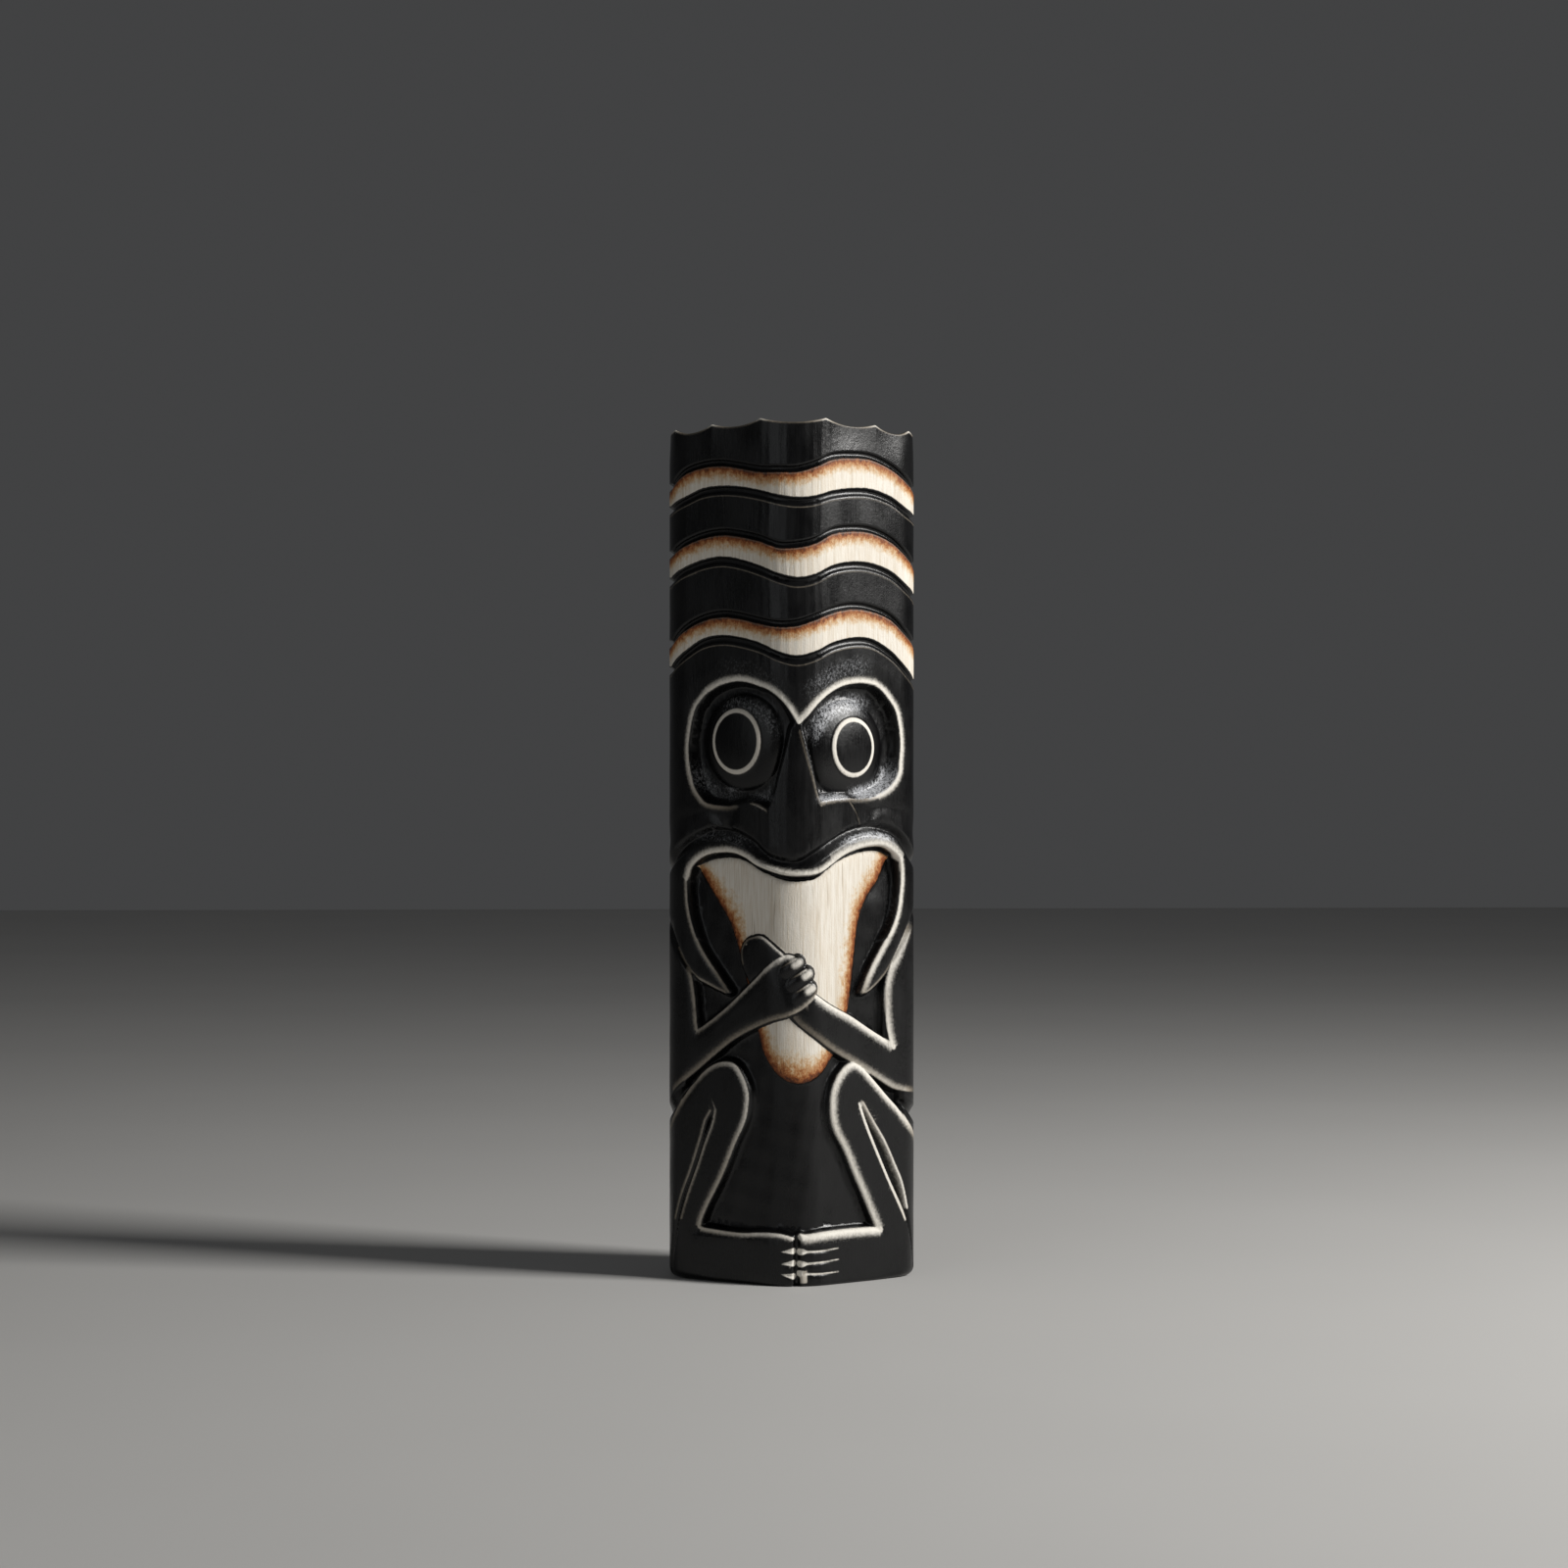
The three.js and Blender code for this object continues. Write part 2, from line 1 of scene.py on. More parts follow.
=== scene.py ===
# The looks of a carved and scorched totem statue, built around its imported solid.
#
# The statue's surface is one sheet laid around the post. Places on it are given as s, the way
# around from the front ridge in mm (positive to the figure's left), and z, the height in mm.
# The carving moves each place in or out by n, also in mm, and the paint is kept beside it as
# distances from the edges of what is painted, bared or scorched.

import math

import bmesh
import bpy
import numpy as np
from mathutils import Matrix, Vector
from mathutils.kdtree import KDTree


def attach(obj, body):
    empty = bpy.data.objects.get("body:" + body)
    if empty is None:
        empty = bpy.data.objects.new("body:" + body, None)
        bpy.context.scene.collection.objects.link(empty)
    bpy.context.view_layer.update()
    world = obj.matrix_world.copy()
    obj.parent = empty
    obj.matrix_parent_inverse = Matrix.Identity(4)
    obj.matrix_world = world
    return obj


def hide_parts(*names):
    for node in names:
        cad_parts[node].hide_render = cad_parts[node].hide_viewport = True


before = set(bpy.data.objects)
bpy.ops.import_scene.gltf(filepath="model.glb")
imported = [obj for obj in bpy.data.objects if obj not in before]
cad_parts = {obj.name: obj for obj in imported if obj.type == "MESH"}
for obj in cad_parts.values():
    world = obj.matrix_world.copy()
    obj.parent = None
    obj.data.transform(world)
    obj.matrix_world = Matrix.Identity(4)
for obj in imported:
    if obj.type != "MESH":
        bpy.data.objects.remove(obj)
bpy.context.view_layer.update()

MM = 0.001

# The post's section, from the front ridge to the middle of the back
HALF_WIDTH = 72.0
RIDGE_RADIUS, RIDGE_TURN = 34.0, math.radians(33)
CORNER_RADIUS = 22.0
FLANK_RADIUS, FLANK_TURN = 48.0, math.radians(60)
HEIGHT = 500.0

# The rim
RIM_SAG = 4.0
RIM_CRESTS = (-156.5, -119, -82, -55, -22.7, 18.5, 54, 80.4, 118, 156)
SCOOP_DROP = 3.0
FLUTE_DEPTH = 0.7
FLUTE_LENGTH = 24.0
RIM_ROUND = 0.45        # the rounded lip of the rim
# The rings that turn the rim over: how far in each lies, how high it stands, how flat it has become
RIM_RINGS = ((0.5, 0.3, 0), (1.6, 0.35, 0.05), (5.0, 0.3, 0.5), (10.0, 0.0, 1.0))
TOP_RINGS = 30
DISH_DEPTH = 2.6        # the top is a little hollow inside the rim
GOUGE_WIDTH, GOUGE_LENGTH, GOUGE_DEPTH = 7.5, 26.0, 0.75

# The sheet's mesh: fine where the carving is, coarse on the plain back
FINE_REACH = 92.0
FINE_STEP = 0.8
COARSE_STEP = 2.0
ROW_STEP = 0.8
LEANING_FROM = 310.0    # the rows lean with the headdress's waves from this height up
TRIANGLE_LIMIT = 188000
LIP_KEPT = 1.4          # the rows this near a groove's lip aren't thinned
PAINT_KEPT = 1.5        # nor is the mesh this near the edge of the cream paint

# The narrow planed strokes along the ridge, and the gouge strokes on the back
PLANED_WIDTH, PLANED_DEPTH = 5.2, 0.16
HEWN_COLUMNS = 30
HEWN_LENGTH = 52.0
HEWN_DEPTH = 0.7
STAGGER = 0.618         # each column of strokes starts this share of a stroke after the last

# Levels of the carving, in mm over the post's skin
RAISED = -0.1           # what stands highest is just under the skin
GROUND = -6.9
MOUTH_DEEP = -8.6
TONGUE_TOP_LEVEL = -4.0
TONGUE_CROWN, TONGUE_HALF = 0.9, 46.0
LEFT_HAND_LEVEL = -2.2
FIST_LEVEL, FIST_RISE = -0.5, 1.5
FINGER_LEVEL, FINGER_ROUND, FINGER_SINK = -0.15, 3.0, 2.0
SOCKET_FLOOR, SOCKET_BY_NOSE = -8.2, 0.9
BROW_SINK, BROW_REACH = 0.7, 11.0   # the forehead sinks a little towards the brows
LID_TOP, LID_DOME = -2.4, 6.6
PUPIL_RISE = 1.0
THIGH_GAP_FLOOR = -4.6
FAR_BELOW = -20.0       # lower than any cut, where a form has nothing

# Cuts and slopes
WALL_SLOPE = 3.0
LIP_CUT_DEPTH, LIP_CUT_ABOVE, LIP_CUT_BELOW = 4.2, 3.2, 5.6
SIDE_CUT_DEPTH = 4.6
TOE_DEPTH, TOE_HALF_WIDTH, TOE_STEP = 0.9, 1.1, 0.8
SPLIT_DEPTH, SPLIT_HALF_WIDTH, SPLIT_STEEP = 3.6, 2.7, 1.7
EDGE_LAP = 1.5          # a raised form's wall starts this far outside its outline
HAND_LAP = 1.2
SOCKET_LAP = 1.2
RIDGE_SINK_REACH = 71.4  # limbs sink a little towards the ridge from here in


def section_runs():
    """The arcs and the straight of half the section: radius (0 for a straight), length, turn."""
    sin_turn = math.sin(RIDGE_TURN)
    reach = HALF_WIDTH - RIDGE_RADIUS * sin_turn - CORNER_RADIUS * (1 - sin_turn)
    flank_end = math.cos(FLANK_TURN)
    back_radius = (HALF_WIDTH - FLANK_RADIUS * (1 - flank_end)) / flank_end
    corner_turn = math.pi / 2 - RIDGE_TURN
    back_turn = math.pi / 2 - FLANK_TURN
    return (
        (RIDGE_RADIUS, RIDGE_RADIUS * RIDGE_TURN, RIDGE_TURN),
        (0.0, reach / math.cos(RIDGE_TURN), 0.0),
        (CORNER_RADIUS, CORNER_RADIUS * corner_turn, corner_turn),
        (FLANK_RADIUS, FLANK_RADIUS * FLANK_TURN, FLANK_TURN),
        (back_radius, back_radius * back_turn, back_turn),
    )


def skin(s):
    """Where the plain post's skin is at s, and which way it faces: x, y, nx, ny."""
    way = np.abs(s)
    x = np.zeros_like(way)
    y = np.zeros_like(way)
    heading = np.zeros_like(way)
    start, px, py, turned = 0.0, 0.0, 0.0, 0.0
    for radius, length, turn in section_runs():
        here = way >= start - 1e-9
        along = np.minimum(way[here] - start, length)
        if radius:
            now = turned + along / radius
            x[here] = px + radius * (np.sin(now) - math.sin(turned))
            y[here] = py + radius * (math.cos(turned) - np.cos(now))
            heading[here] = now
            px += radius * (math.sin(turned + turn) - math.sin(turned))
            py += radius * (math.cos(turned) - math.cos(turned + turn))
        else:
            x[here] = px + along * math.cos(turned)
            y[here] = py + along * math.sin(turned)
            heading[here] = turned
            px += length * math.cos(turned)
            py += length * math.sin(turned)
        start += length
        turned += turn
    side = np.where(s < 0, -1.0, 1.0)
    return side * x, y, side * np.sin(heading), -np.cos(heading)


HALF_SKIN = sum(length for _, length, _ in section_runs())
DEPTH = float(skin(np.array([HALF_SKIN]))[1][0])


# Curves on the skin


def curve(points, step=1.5):
    """A smooth path through a few points."""
    p = np.array(points, float)
    if len(p) < 3:
        return p
    ends = np.vstack([2 * p[0] - p[1], p, 2 * p[-1] - p[-2]])
    path = [p[:1]]
    for i in range(1, len(p)):
        a, b, c, d = ends[i - 1 : i + 3]
        count = max(1, int(np.hypot(*(c - b)) / step))
        t = np.linspace(0, 1, count + 1)[1:, None]
        path.append(
            0.5
            * (
                2 * b
                + (c - a) * t
                + (2 * a - 5 * b + 4 * c - d) * t**2
                + (3 * b - a - 3 * c + d) * t**3
            )
        )
    return np.vstack(path)


def loop(*runs):
    """A closed outline: smooth along each run, with a corner between two runs."""
    return np.vstack([curve(run) for run in runs] + [np.array(runs[0][:1], float)])


def beside(s, z, path, reach=14.0):
    """Signed distance from a path (positive on its left) and the share of the path passed.
    Beyond reach it is reach."""
    away = np.full(s.shape, reach)
    share = np.zeros(s.shape)
    low, high = path.min(0) - reach, path.max(0) + reach
    near = (s > low[0]) & (s < high[0]) & (z > low[1]) & (z < high[1])
    if not near.any():
        return away, share
    p = np.stack([s[near], z[near]], 1)
    best = np.full(len(p), reach**2)
    sign = np.ones(len(p))
    passed = np.zeros(len(p))
    lengths = np.hypot(*np.diff(path, axis=0).T)
    total, run = lengths.sum(), 0.0
    for a, b, length in zip(path[:-1], path[1:], lengths):
        if length < 1e-6:
            continue
        ab = b - a
        rel = p - a
        t = np.clip(rel @ ab / length**2, 0, 1)
        off = rel - t[:, None] * ab
        d2 = (off * off).sum(1)
        closer = d2 < best
        best[closer] = d2[closer]
        cross = ab[0] * rel[closer, 1] - ab[1] * rel[closer, 0]
        sign[closer] = np.where(cross < 0, -1.0, 1.0)
        passed[closer] = (run + t[closer] * length) / total
        run += length
    away[near] = np.sqrt(best) * sign
    share[near] = passed
    return away, share


def inside(s, z, outline):
    """Which places lie inside a closed outline."""
    low, high = outline.min(0), outline.max(0)
    near = (s > low[0]) & (s < high[0]) & (z > low[1]) & (z < high[1])
    result = np.zeros(s.shape, bool)
    ps, pz = s[near], z[near]
    odd = np.zeros(len(ps), bool)
    for (s0, z0), (s1, z1) in zip(outline[:-1], outline[1:]):
        crosses = (z0 > pz) != (z1 > pz)
        if z0 != z1:
            odd ^= crosses & (ps < s0 + (pz - z0) * (s1 - s0) / (z1 - z0))
    result[near] = odd
    return result


def depth_in(s, z, outline, reach=14.0):
    """Distance in from a closed outline, negative outside it."""
    away = np.abs(beside(s, z, outline, reach)[0])
    return np.where(inside(s, z, outline), away, -away)


def shoulder(d, reach, drop, slope=WALL_SLOPE):
    """How far a raised form's surface falls at a distance in from its edge."""
    t = np.clip(d / reach, 0, 1)
    rounded = drop * (1 - np.sqrt(np.clip(1 - (1 - t) ** 2, 0, 1)))
    return np.where(d < 0, drop - slope * d, rounded)


def ramp(d, start, end):
    """0 before start, 1 after end, smooth between."""
    t = np.clip((d - start) / (end - start), 0, 1)
    return t * t * (3 - 2 * t)


def hand_cut(s, z, size, seed):
    """A slow unevenness between -1 and 1, as a hand tool leaves it."""
    a = np.sin(s / size * 2.1 + seed) * np.sin(z / size * 1.3 + 2.3 * seed)
    b = np.sin(s / size * 4.7 - z / size * 1.1 + 4.1 * seed)
    c = np.sin(z / size * 3.9 + s / size * 0.8 + 1.7 * seed)
    return (a + 0.5 * b + 0.5 * c) / 2


# Outlines of the carving, on the skin laid flat

MOUTH = [
    (-44, 168.5), (-51, 177.5), (-59, 187.5), (-65, 197), (-69.5, 209), (-72, 221), (-72.5, 233.5),
    (-70, 240.5), (-65, 245.5), (-58, 249), (-48.5, 250.5), (-39.5, 250), (-31.5, 247), (-23.5, 242.5),
    (-6.5, 237.5), (8, 237.5), (15.5, 239.5), (23, 244), (30.5, 248.5), (40, 252), (50, 254), (60, 254),
    (67.5, 250.5), (73, 245), (74, 233.5), (72.5, 220.5), (70, 210.5), (65, 200.5), (52.5, 181.5),
    (45.5, 168),
]
MOUTH_LOW = [(44, 163), (-42, 163)]
LIP_SHADE = 4.5         # how far under the lip's edge the tongue comes out
BODY = np.array([(-76, 200), (76, 200), (76, 26), (-76, 26), (-76, 200)], float)
JAW_LEFT = (
    [(45.5, 168), (50, 169), (59.5, 176.5), (66, 184.5), (75, 199.5), (86, 213)],
    [(96, 219), (96, 246)],
    [(80, 249), (72, 252)],
    MOUTH[23:29],
)
JAW_RIGHT = (
    MOUTH[:8],
    [(-72, 248), (-82, 247)],
    [(-96, 244), (-96, 212)],
    [(-81.5, 193.5), (-68.5, 178.5), (-57, 172.5), (-46, 168)],
)
TONGUE = (
    [(-67, 241), *((s, z - LIP_SHADE) for s, z in MOUTH[9:22]), (68, 246)],
    [(65, 244), (59.5, 233), (51, 222.5), (45.5, 209.5), (43, 195.5), (39, 166), (35, 150), (28, 134),
     (25, 130), (18.5, 122.5), (9, 117.5), (0, 116.5), (-8.5, 119), (-16.5, 125), (-22.5, 133.5), (-26, 144),
     (-31, 164), (-38.5, 190), (-45, 207.5), (-51, 217), (-63.5, 235.5)],
)
ARM_BELOW = (
    [(4, 171), (24, 159.5), (37.5, 153), (51, 145), (63.5, 138)],
    [(63.5, 147), (63.5, 157), (63.5, 170), (66.5, 180.5), (70.5, 187), (77, 198), (84, 207)],
    [(96, 214), (96, 106)],
    [(84, 110), (71, 111), (65, 113.5), (54, 120), (41.5, 127), (28, 134), (14.5, 142.5), (3.5, 150),
     (-4, 156)],
)
ARM_ABOVE = (
    [(-10, 188), (-20.5, 181), (-35.5, 167.5), (-44, 160), (-54.5, 152), (-65, 145)],
    [(-66.5, 151.5), (-67.5, 162.5), (-69.5, 175.5), (-73.5, 185), (-83, 198.5)],
    [(-96, 212), (-96, 101)],
    [(-84, 110), (-68.5, 121), (-54.5, 132), (-41.5, 141.5), (-28, 148.5), (-16.5, 153), (-6.5, 155.5)],
)
FIST = [
    (-24, 177.5), (-20.5, 181), (-13, 186.5), (-6.5, 189.5), (-2, 189), (1, 186), (4, 179), (6, 172),
    (6, 165), (3, 160.5), (-1, 157.5), (-9, 155), (-20, 152.5),
]
LEFT_HAND = [
    (-3, 183), (-8.5, 190.5), (-18, 197.5), (-23, 200.5), (-27, 200.5), (-32, 199), (-35, 196), (-36.5, 191),
    (-35.5, 184), (-31, 175),
]
# The clenched fingers: tip, root and half thickness
FINGERS = (
    ((1, 186), (-16, 175), 4.6),
    ((7, 179.5), (-13.5, 166), 4.7),
    ((9, 171), (-10, 158.5), 4.8),
)
LEG_LEFT = (
    [(57.5, 29.5), (47, 50.5), (40, 64), (33.5, 77.5), (26.5, 89), (24, 98.5), (24.5, 109.5), (28, 118),
     (33.5, 124), (39, 126), (45.5, 122.5), (54, 114.5), (62, 106.5), (70.5, 98.5), (78.5, 90), (92, 80)],
    [(98, 74), (98, 10), (60, 10)],
)
LEG_RIGHT = (
    [(-92, 84), (-81.5, 96), (-73.5, 106.5), (-66, 115.5), (-57, 123.5), (-48, 127), (-40.5, 126),
     (-35.5, 120), (-32, 111.5), (-32, 103), (-34, 94), (-40.5, 81), (-46.5, 67.5), (-51.5, 57.5),
     (-58, 46), (-62.5, 37), (-64, 31)],
    [(-64, 10), (-98, 10), (-98, 78)],
)
THIGH_GAP_LEFT = (
    [(42.5, 103.5), (44.5, 97.5), (50, 85), (63.5, 58), (76.5, 34), (84, 14), (87, -3)],
    [(91, -3), (84, 24), (78.5, 40.5), (73.5, 55.5), (67.5, 67.5), (61, 80), (52.5, 92.5), (45, 104)],
)
THIGH_GAP_RIGHT = (
    [(-55.5, 99.5), (-59.5, 93), (-63, 82), (-69.5, 64), (-76.5, 48), (-81.5, 34.5), (-87, 14), (-91, -3)],
    [(-87, -3), (-83, 12), (-76.5, 35), (-71, 50.5), (-64.5, 66.5), (-59.5, 80), (-54.5, 92), (-53, 99.5)],
)
FEET_TOP = [
    (-96, 26), (-75, 29.5), (-60.5, 30), (-48, 29), (-35.5, 28.5), (-22.5, 29.5), (-11, 29.5), (-2, 27.5),
    (2.5, 28.5), (6.5, 28), (17, 29), (31, 29.5), (44.5, 29.5), (58, 29), (75, 28), (96, 24),
]
BROW_LEFT = [
    (1.5, 324.5), (6.5, 329.5), (11.5, 335), (17.5, 340), (24, 344), (31.5, 347), (40.5, 348.5), (47, 348.5),
    (54, 347.5), (60, 344), (65, 339), (69.5, 333.5), (72, 327), (73.5, 319), (74, 311), (73, 302.5),
    (72, 295.5), (68.5, 289.5), (62.5, 284.5), (55.5, 281.5), (49, 280), (40.5, 279.5), (34.5, 280),
    (26, 279.5), (15.5, 278),
]
NOSE_LEFT = [(15.5, 276), (12.5, 282.5), (10, 292), (6.5, 303.5), (2, 320)]
BROW_RIGHT = [
    (-17, 273), (-24, 275.5), (-30.5, 277.5), (-38, 276), (-46, 275), (-59, 277), (-64, 281.5),
    (-67.5, 286.5), (-70, 294.5), (-71.5, 302.5), (-72, 311), (-71, 319), (-69.5, 326.5), (-67, 333.5),
    (-63, 338.5), (-58.5, 343), (-52, 346.5), (-45.5, 348.5), (-37.5, 349.5), (-30, 348.5), (-23.5, 346.5),
    (-16.5, 344), (-10, 339.5), (-4.5, 333.5), (1.5, 324.5),
]
NOSE_RIGHT = [(-2, 319.5), (-6.5, 303.5), (-10, 292), (-13, 282), (-16, 275)]
# The pupils: middle, and half width and height
RING_LEFT = (40, 310, 14.4, 16.1)
RING_RIGHT = (-40, 313.5, 15.4, 17.8)
# The lids: how far out the middle is, and half width and height
LID = (37.0, 27.0, 28.5)
LIP_CUT = [
    (-116, 232), (-96, 240), (-81.5, 248.5), (-67, 257), (-55, 261.5), (-42, 261), (-29, 255.5), (-17, 246.5),
    (0, 243.5), (11, 248.5), (24, 256), (37.5, 262), (51, 264), (65, 261.5), (73.5, 256.5), (82, 249.5),
    (96, 242), (116, 236),
]
CHEEK_LEFT = [
    (35, 279), (39.5, 272), (43.5, 262), (60, 268), (75, 258), (92, 249), (110, 246), (104, 262), (84, 279),
    (60, 283),
]
# The cuts that go on around the sides, each with its half width
SIDE_CUTS = (
    ([(62, 176.5), (66, 183), (74.5, 196), (80, 203.5), (88, 211), (100, 219), (120, 226)], 3.6),
    ([(-60, 171), (-70, 180), (-80, 193), (-89, 204), (-100, 212), (-120, 220)], 3.6),
    ([(60, 110), (70, 105.5), (78, 101), (88, 96), (100, 92), (120, 87)], 5.4),
    ([(-60, 122), (-70, 114.5), (-78, 107.5), (-88, 100), (-100, 94), (-120, 88)], 5.4),
)
TOES_LEFT = (
    [(2, 20), (14, 20), (27, 21)], [(2, 13), (14, 13.5), (27, 14.5)], [(2, 7.5), (14, 7), (27, 7.5)],
)
TOES_RIGHT = ([(-2, 20.5), (-9, 20)], [(-2, 13.5), (-9, 13)], [(-2, 6), (-9, 7)])
# Jaws, arms and legs: the outline, how much it sinks towards the ridge, how wide its rounded
# shoulder is and how far that falls
LIMBS = (
    (JAW_LEFT, 0.0, 5.5, 2.4),
    (JAW_RIGHT, 0.0, 5.5, 2.4),
    (ARM_BELOW, 1.9, 7.5, 2.4),
    (ARM_ABOVE, 1.1, 7.5, 2.4),
    (LEG_LEFT, 0.8, 6.0, 2.0),
    (LEG_RIGHT, 0.8, 6.0, 2.0),
)

# The headdress: the bare bands' lower and upper edges, from the figure's right to its left
BAND_PLACES = (-87, -73.5, -61, -48, -35.5, -22.5, -11, 0, 11, 23.5, 37.5, 51, 65, 76.5, 88)
BANDS = (
    ((451.5, 456, 460.5, 461.5, 460.5, 458, 455, 453.5, 454.5, 458, 460, 460, 456.5, 450.5, 447),
     (461, 469, 472.5, 473, 471, 468.5, 468, 468, 471, 476, 477.5, 477, 472.5, 466, 460)),
    ((409.5, 415, 419, 420.5, 418.5, 414.5, 410, 407.5, 409.5, 415, 417.5, 417, 413, 406, 400.5),
     (421.5, 427.5, 431.5, 433, 431.5, 428.5, 424.5, 424.5, 427, 433, 435, 434.5, 430, 422.5, 415.5)),
    ((357.5, 366, 373, 375, 373.5, 370, 365, 362.5, 365, 370.5, 373.5, 373, 366.5, 357.5, 350.5),
     (369, 378, 383.5, 385.5, 384, 381, 379, 379.5, 383, 387.5, 390, 389, 384.5, 376, 369.5)),
)
BAND_END = 104.0        # the bare bands and the grooves run out on the flanks
BAND_TAPER = 14.0
GROOVE_END = 122.0
GROOVE_FADE = 26.0
GROOVE_ABOVE, GROOVE_BELOW, GROOVE_DEPTH = 1.7, 3.2, 3.1
BAND_SHOULDER = 0.6     # how far the groove above a band bites into its edge


def band_edge(s, heights):
    """A band's edge at s: a smooth curve through the heights, level beyond them."""
    places = np.array(BAND_PLACES, float)
    path = curve(np.stack([places, np.array(heights)], 1), 1.0)
    return np.interp(s, path[:, 0], path[:, 1])


def groove_bottoms(s):
    """The heights at s of the grooves below and above each bare band, from the lowest up."""
    for low, high in reversed(BANDS):
        yield band_edge(s, low) - GROOVE_ABOVE
        yield band_edge(s, high) + GROOVE_BELOW - BAND_SHOULDER


def rim_height(s):
    """The height of the rim's crests, which sink towards the sides."""
    return HEIGHT - RIM_SAG * np.minimum(1, (s / HALF_WIDTH) ** 2)


def scoop_share(s):
    """0 on the crests of the rim, 1 in the middle of a scoop."""
    crests = np.array([-HALF_SKIN, *RIM_CRESTS, HALF_SKIN])
    i = np.clip(np.searchsorted(crests, s) - 1, 0, len(crests) - 2)
    t = (s - crests[i]) / (crests[i + 1] - crests[i])
    return 4 * t * (1 - t)


def rim_edge(s):
    """The height of the wall's end at the rim."""
    return rim_height(s) - RIM_ROUND - SCOOP_DROP * scoop_share(s)


def planed(s, z):
    """The narrow upright strokes left where the ridge was rounded."""
    wander = 0.9 * np.sin(z / 31.0) + 0.5 * np.sin(z / 11.0 + 1.0)
    stroke = np.abs(np.sin(math.pi * (s + wander) / PLANED_WIDTH))
    return PLANED_DEPTH * stroke * (1 - ramp(np.abs(s), 15, 30))


def hewn(s, z):
    """Shallow gouge strokes in staggered columns over the back."""
    wide = 2 * HALF_SKIN / HEWN_COLUMNS
    column = np.floor((s + HALF_SKIN) / wide)
    u = (s + HALF_SKIN) / wide - column
    column = column % HEWN_COLUMNS
    length = HEWN_LENGTH * (1 + 0.25 * np.sin(column * 2.4))
    v = (z / length + column * STAGGER) % 1
    stroke = 4 * u * (1 - u) * ramp(v, 0, 0.2) * (1 - ramp(v, 0.45, 1))
    return HEWN_DEPTH * stroke * ramp(np.abs(s), 100, 124)


def plain_skin(s, z):
    """The skin before any carving: a little uneven, planed, hewn, and fluted under the rim."""
    uneven = 0.12 + 0.12 * hand_cut(s, z, 16.0, 0.4) * (1 - ramp(np.abs(s), 150, 190))
    flutes = FLUTE_DEPTH * scoop_share(s) * ramp(z, HEIGHT - FLUTE_LENGTH, HEIGHT - 4)
    return -uneven - (planed(s, z) + hewn(s, z)) - flutes


def v_cut(d, above, below):
    """The share of a V cut's depth at a distance over its bottom."""
    return np.clip(np.where(d > 0, 1 - d / above, 1 + d / below), 0, 1)


def headdress_grooves(s, z, n):
    """The V grooves that part the bands."""
    fade = 1 - ramp(np.abs(s), GROOVE_END - GROOVE_FADE, GROOVE_END)
    for bottom in groove_bottoms(s):
        n = np.minimum(n, -GROOVE_DEPTH * fade * v_cut(z - bottom, GROOVE_ABOVE, GROOVE_BELOW))
    return n


def eyes(s, z, n):
    """Sockets behind the brows, with a domed lid and the raised disc of a pupil in each."""
    for brow, nose, ring, side in (
        (BROW_LEFT, NOSE_LEFT, RING_LEFT, 1),
        (BROW_RIGHT, NOSE_RIGHT, RING_RIGHT, -1),
    ):
        ring_s, ring_z, ring_wide, ring_tall = ring
        lid_s, lid_wide, lid_tall = LID
        d = depth_in(s, z, loop(brow, nose))
        behind_edge = d > -SOCKET_LAP
        n = n - BROW_SINK * ramp(d, -BROW_REACH, 0) * ramp(z, 290, 318)
        floor = SOCKET_FLOOR - SOCKET_BY_NOSE * (1 - ramp(np.abs(s), 4, 22))
        socket = np.maximum(-shoulder(EDGE_LAP - d, 2.6, 1.2, 2.4), floor)
        socket = np.where(behind_edge, socket, 0)
        off_lid = ((s - side * lid_s) / lid_wide) ** 2 + ((z - ring_z + 0.5) / lid_tall) ** 2
        lid = LID_TOP - LID_DOME * (1 - np.sqrt(np.clip(1 - off_lid, 0, 1)))
        socket = np.maximum(socket, np.where((off_lid < 1) & (d > 0), lid, FAR_BELOW))
        off_ring = np.sqrt(((s - ring_s) / ring_wide) ** 2 + ((z - ring_z) / ring_tall) ** 2) - 1
        off_ring = off_ring * (ring_wide + ring_tall) / 2
        socket = socket + PUPIL_RISE * (1 - ramp(off_ring, 0.4, 2.2)) * (d > 0)
        n = np.where(behind_edge, np.minimum(n, socket), n)
    return n


def cheeks_and_lip(s, z, n):
    """The shallow cheeks beside the nose's wings, and the cut over the lip."""
    for side, lower in ((1, 0), (-1, 3)):
        out = s * side
        d = depth_in(out, z + lower, loop(CHEEK_LEFT))
        deep = 1.5 - 0.9 * ramp(out, 46, 64)
        n = np.minimum(n, -deep * ramp(d, 0, 1.8 + 9 * ramp(out, 44, 58)))
    d, share = beside(s, z, curve(LIP_CUT))
    fade = ramp(share, 0, 0.12) * (1 - ramp(share, 0.88, 1))
    return np.minimum(n, -LIP_CUT_DEPTH * fade * v_cut(d, LIP_CUT_ABOVE, LIP_CUT_BELOW))


def cut_back(s, z):
    """The ground that the mouth and the body are cut back to, deeper inside the mouth."""
    away = np.maximum(depth_in(s, z, loop([*MOUTH, *MOUTH_LOW])), depth_in(s, z, BODY, 20.0))
    ground = GROUND + 0.25 * hand_cut(s, z, 9.0, 1.1)
    ground = np.maximum(-shoulder(EDGE_LAP - away, 2.4, 1.0), ground)
    deeper = (GROUND - MOUTH_DEEP) * ramp(z, 214, 244) * ramp(away, 0, 4)
    return np.where(away > 0, ground - deeper, ground)


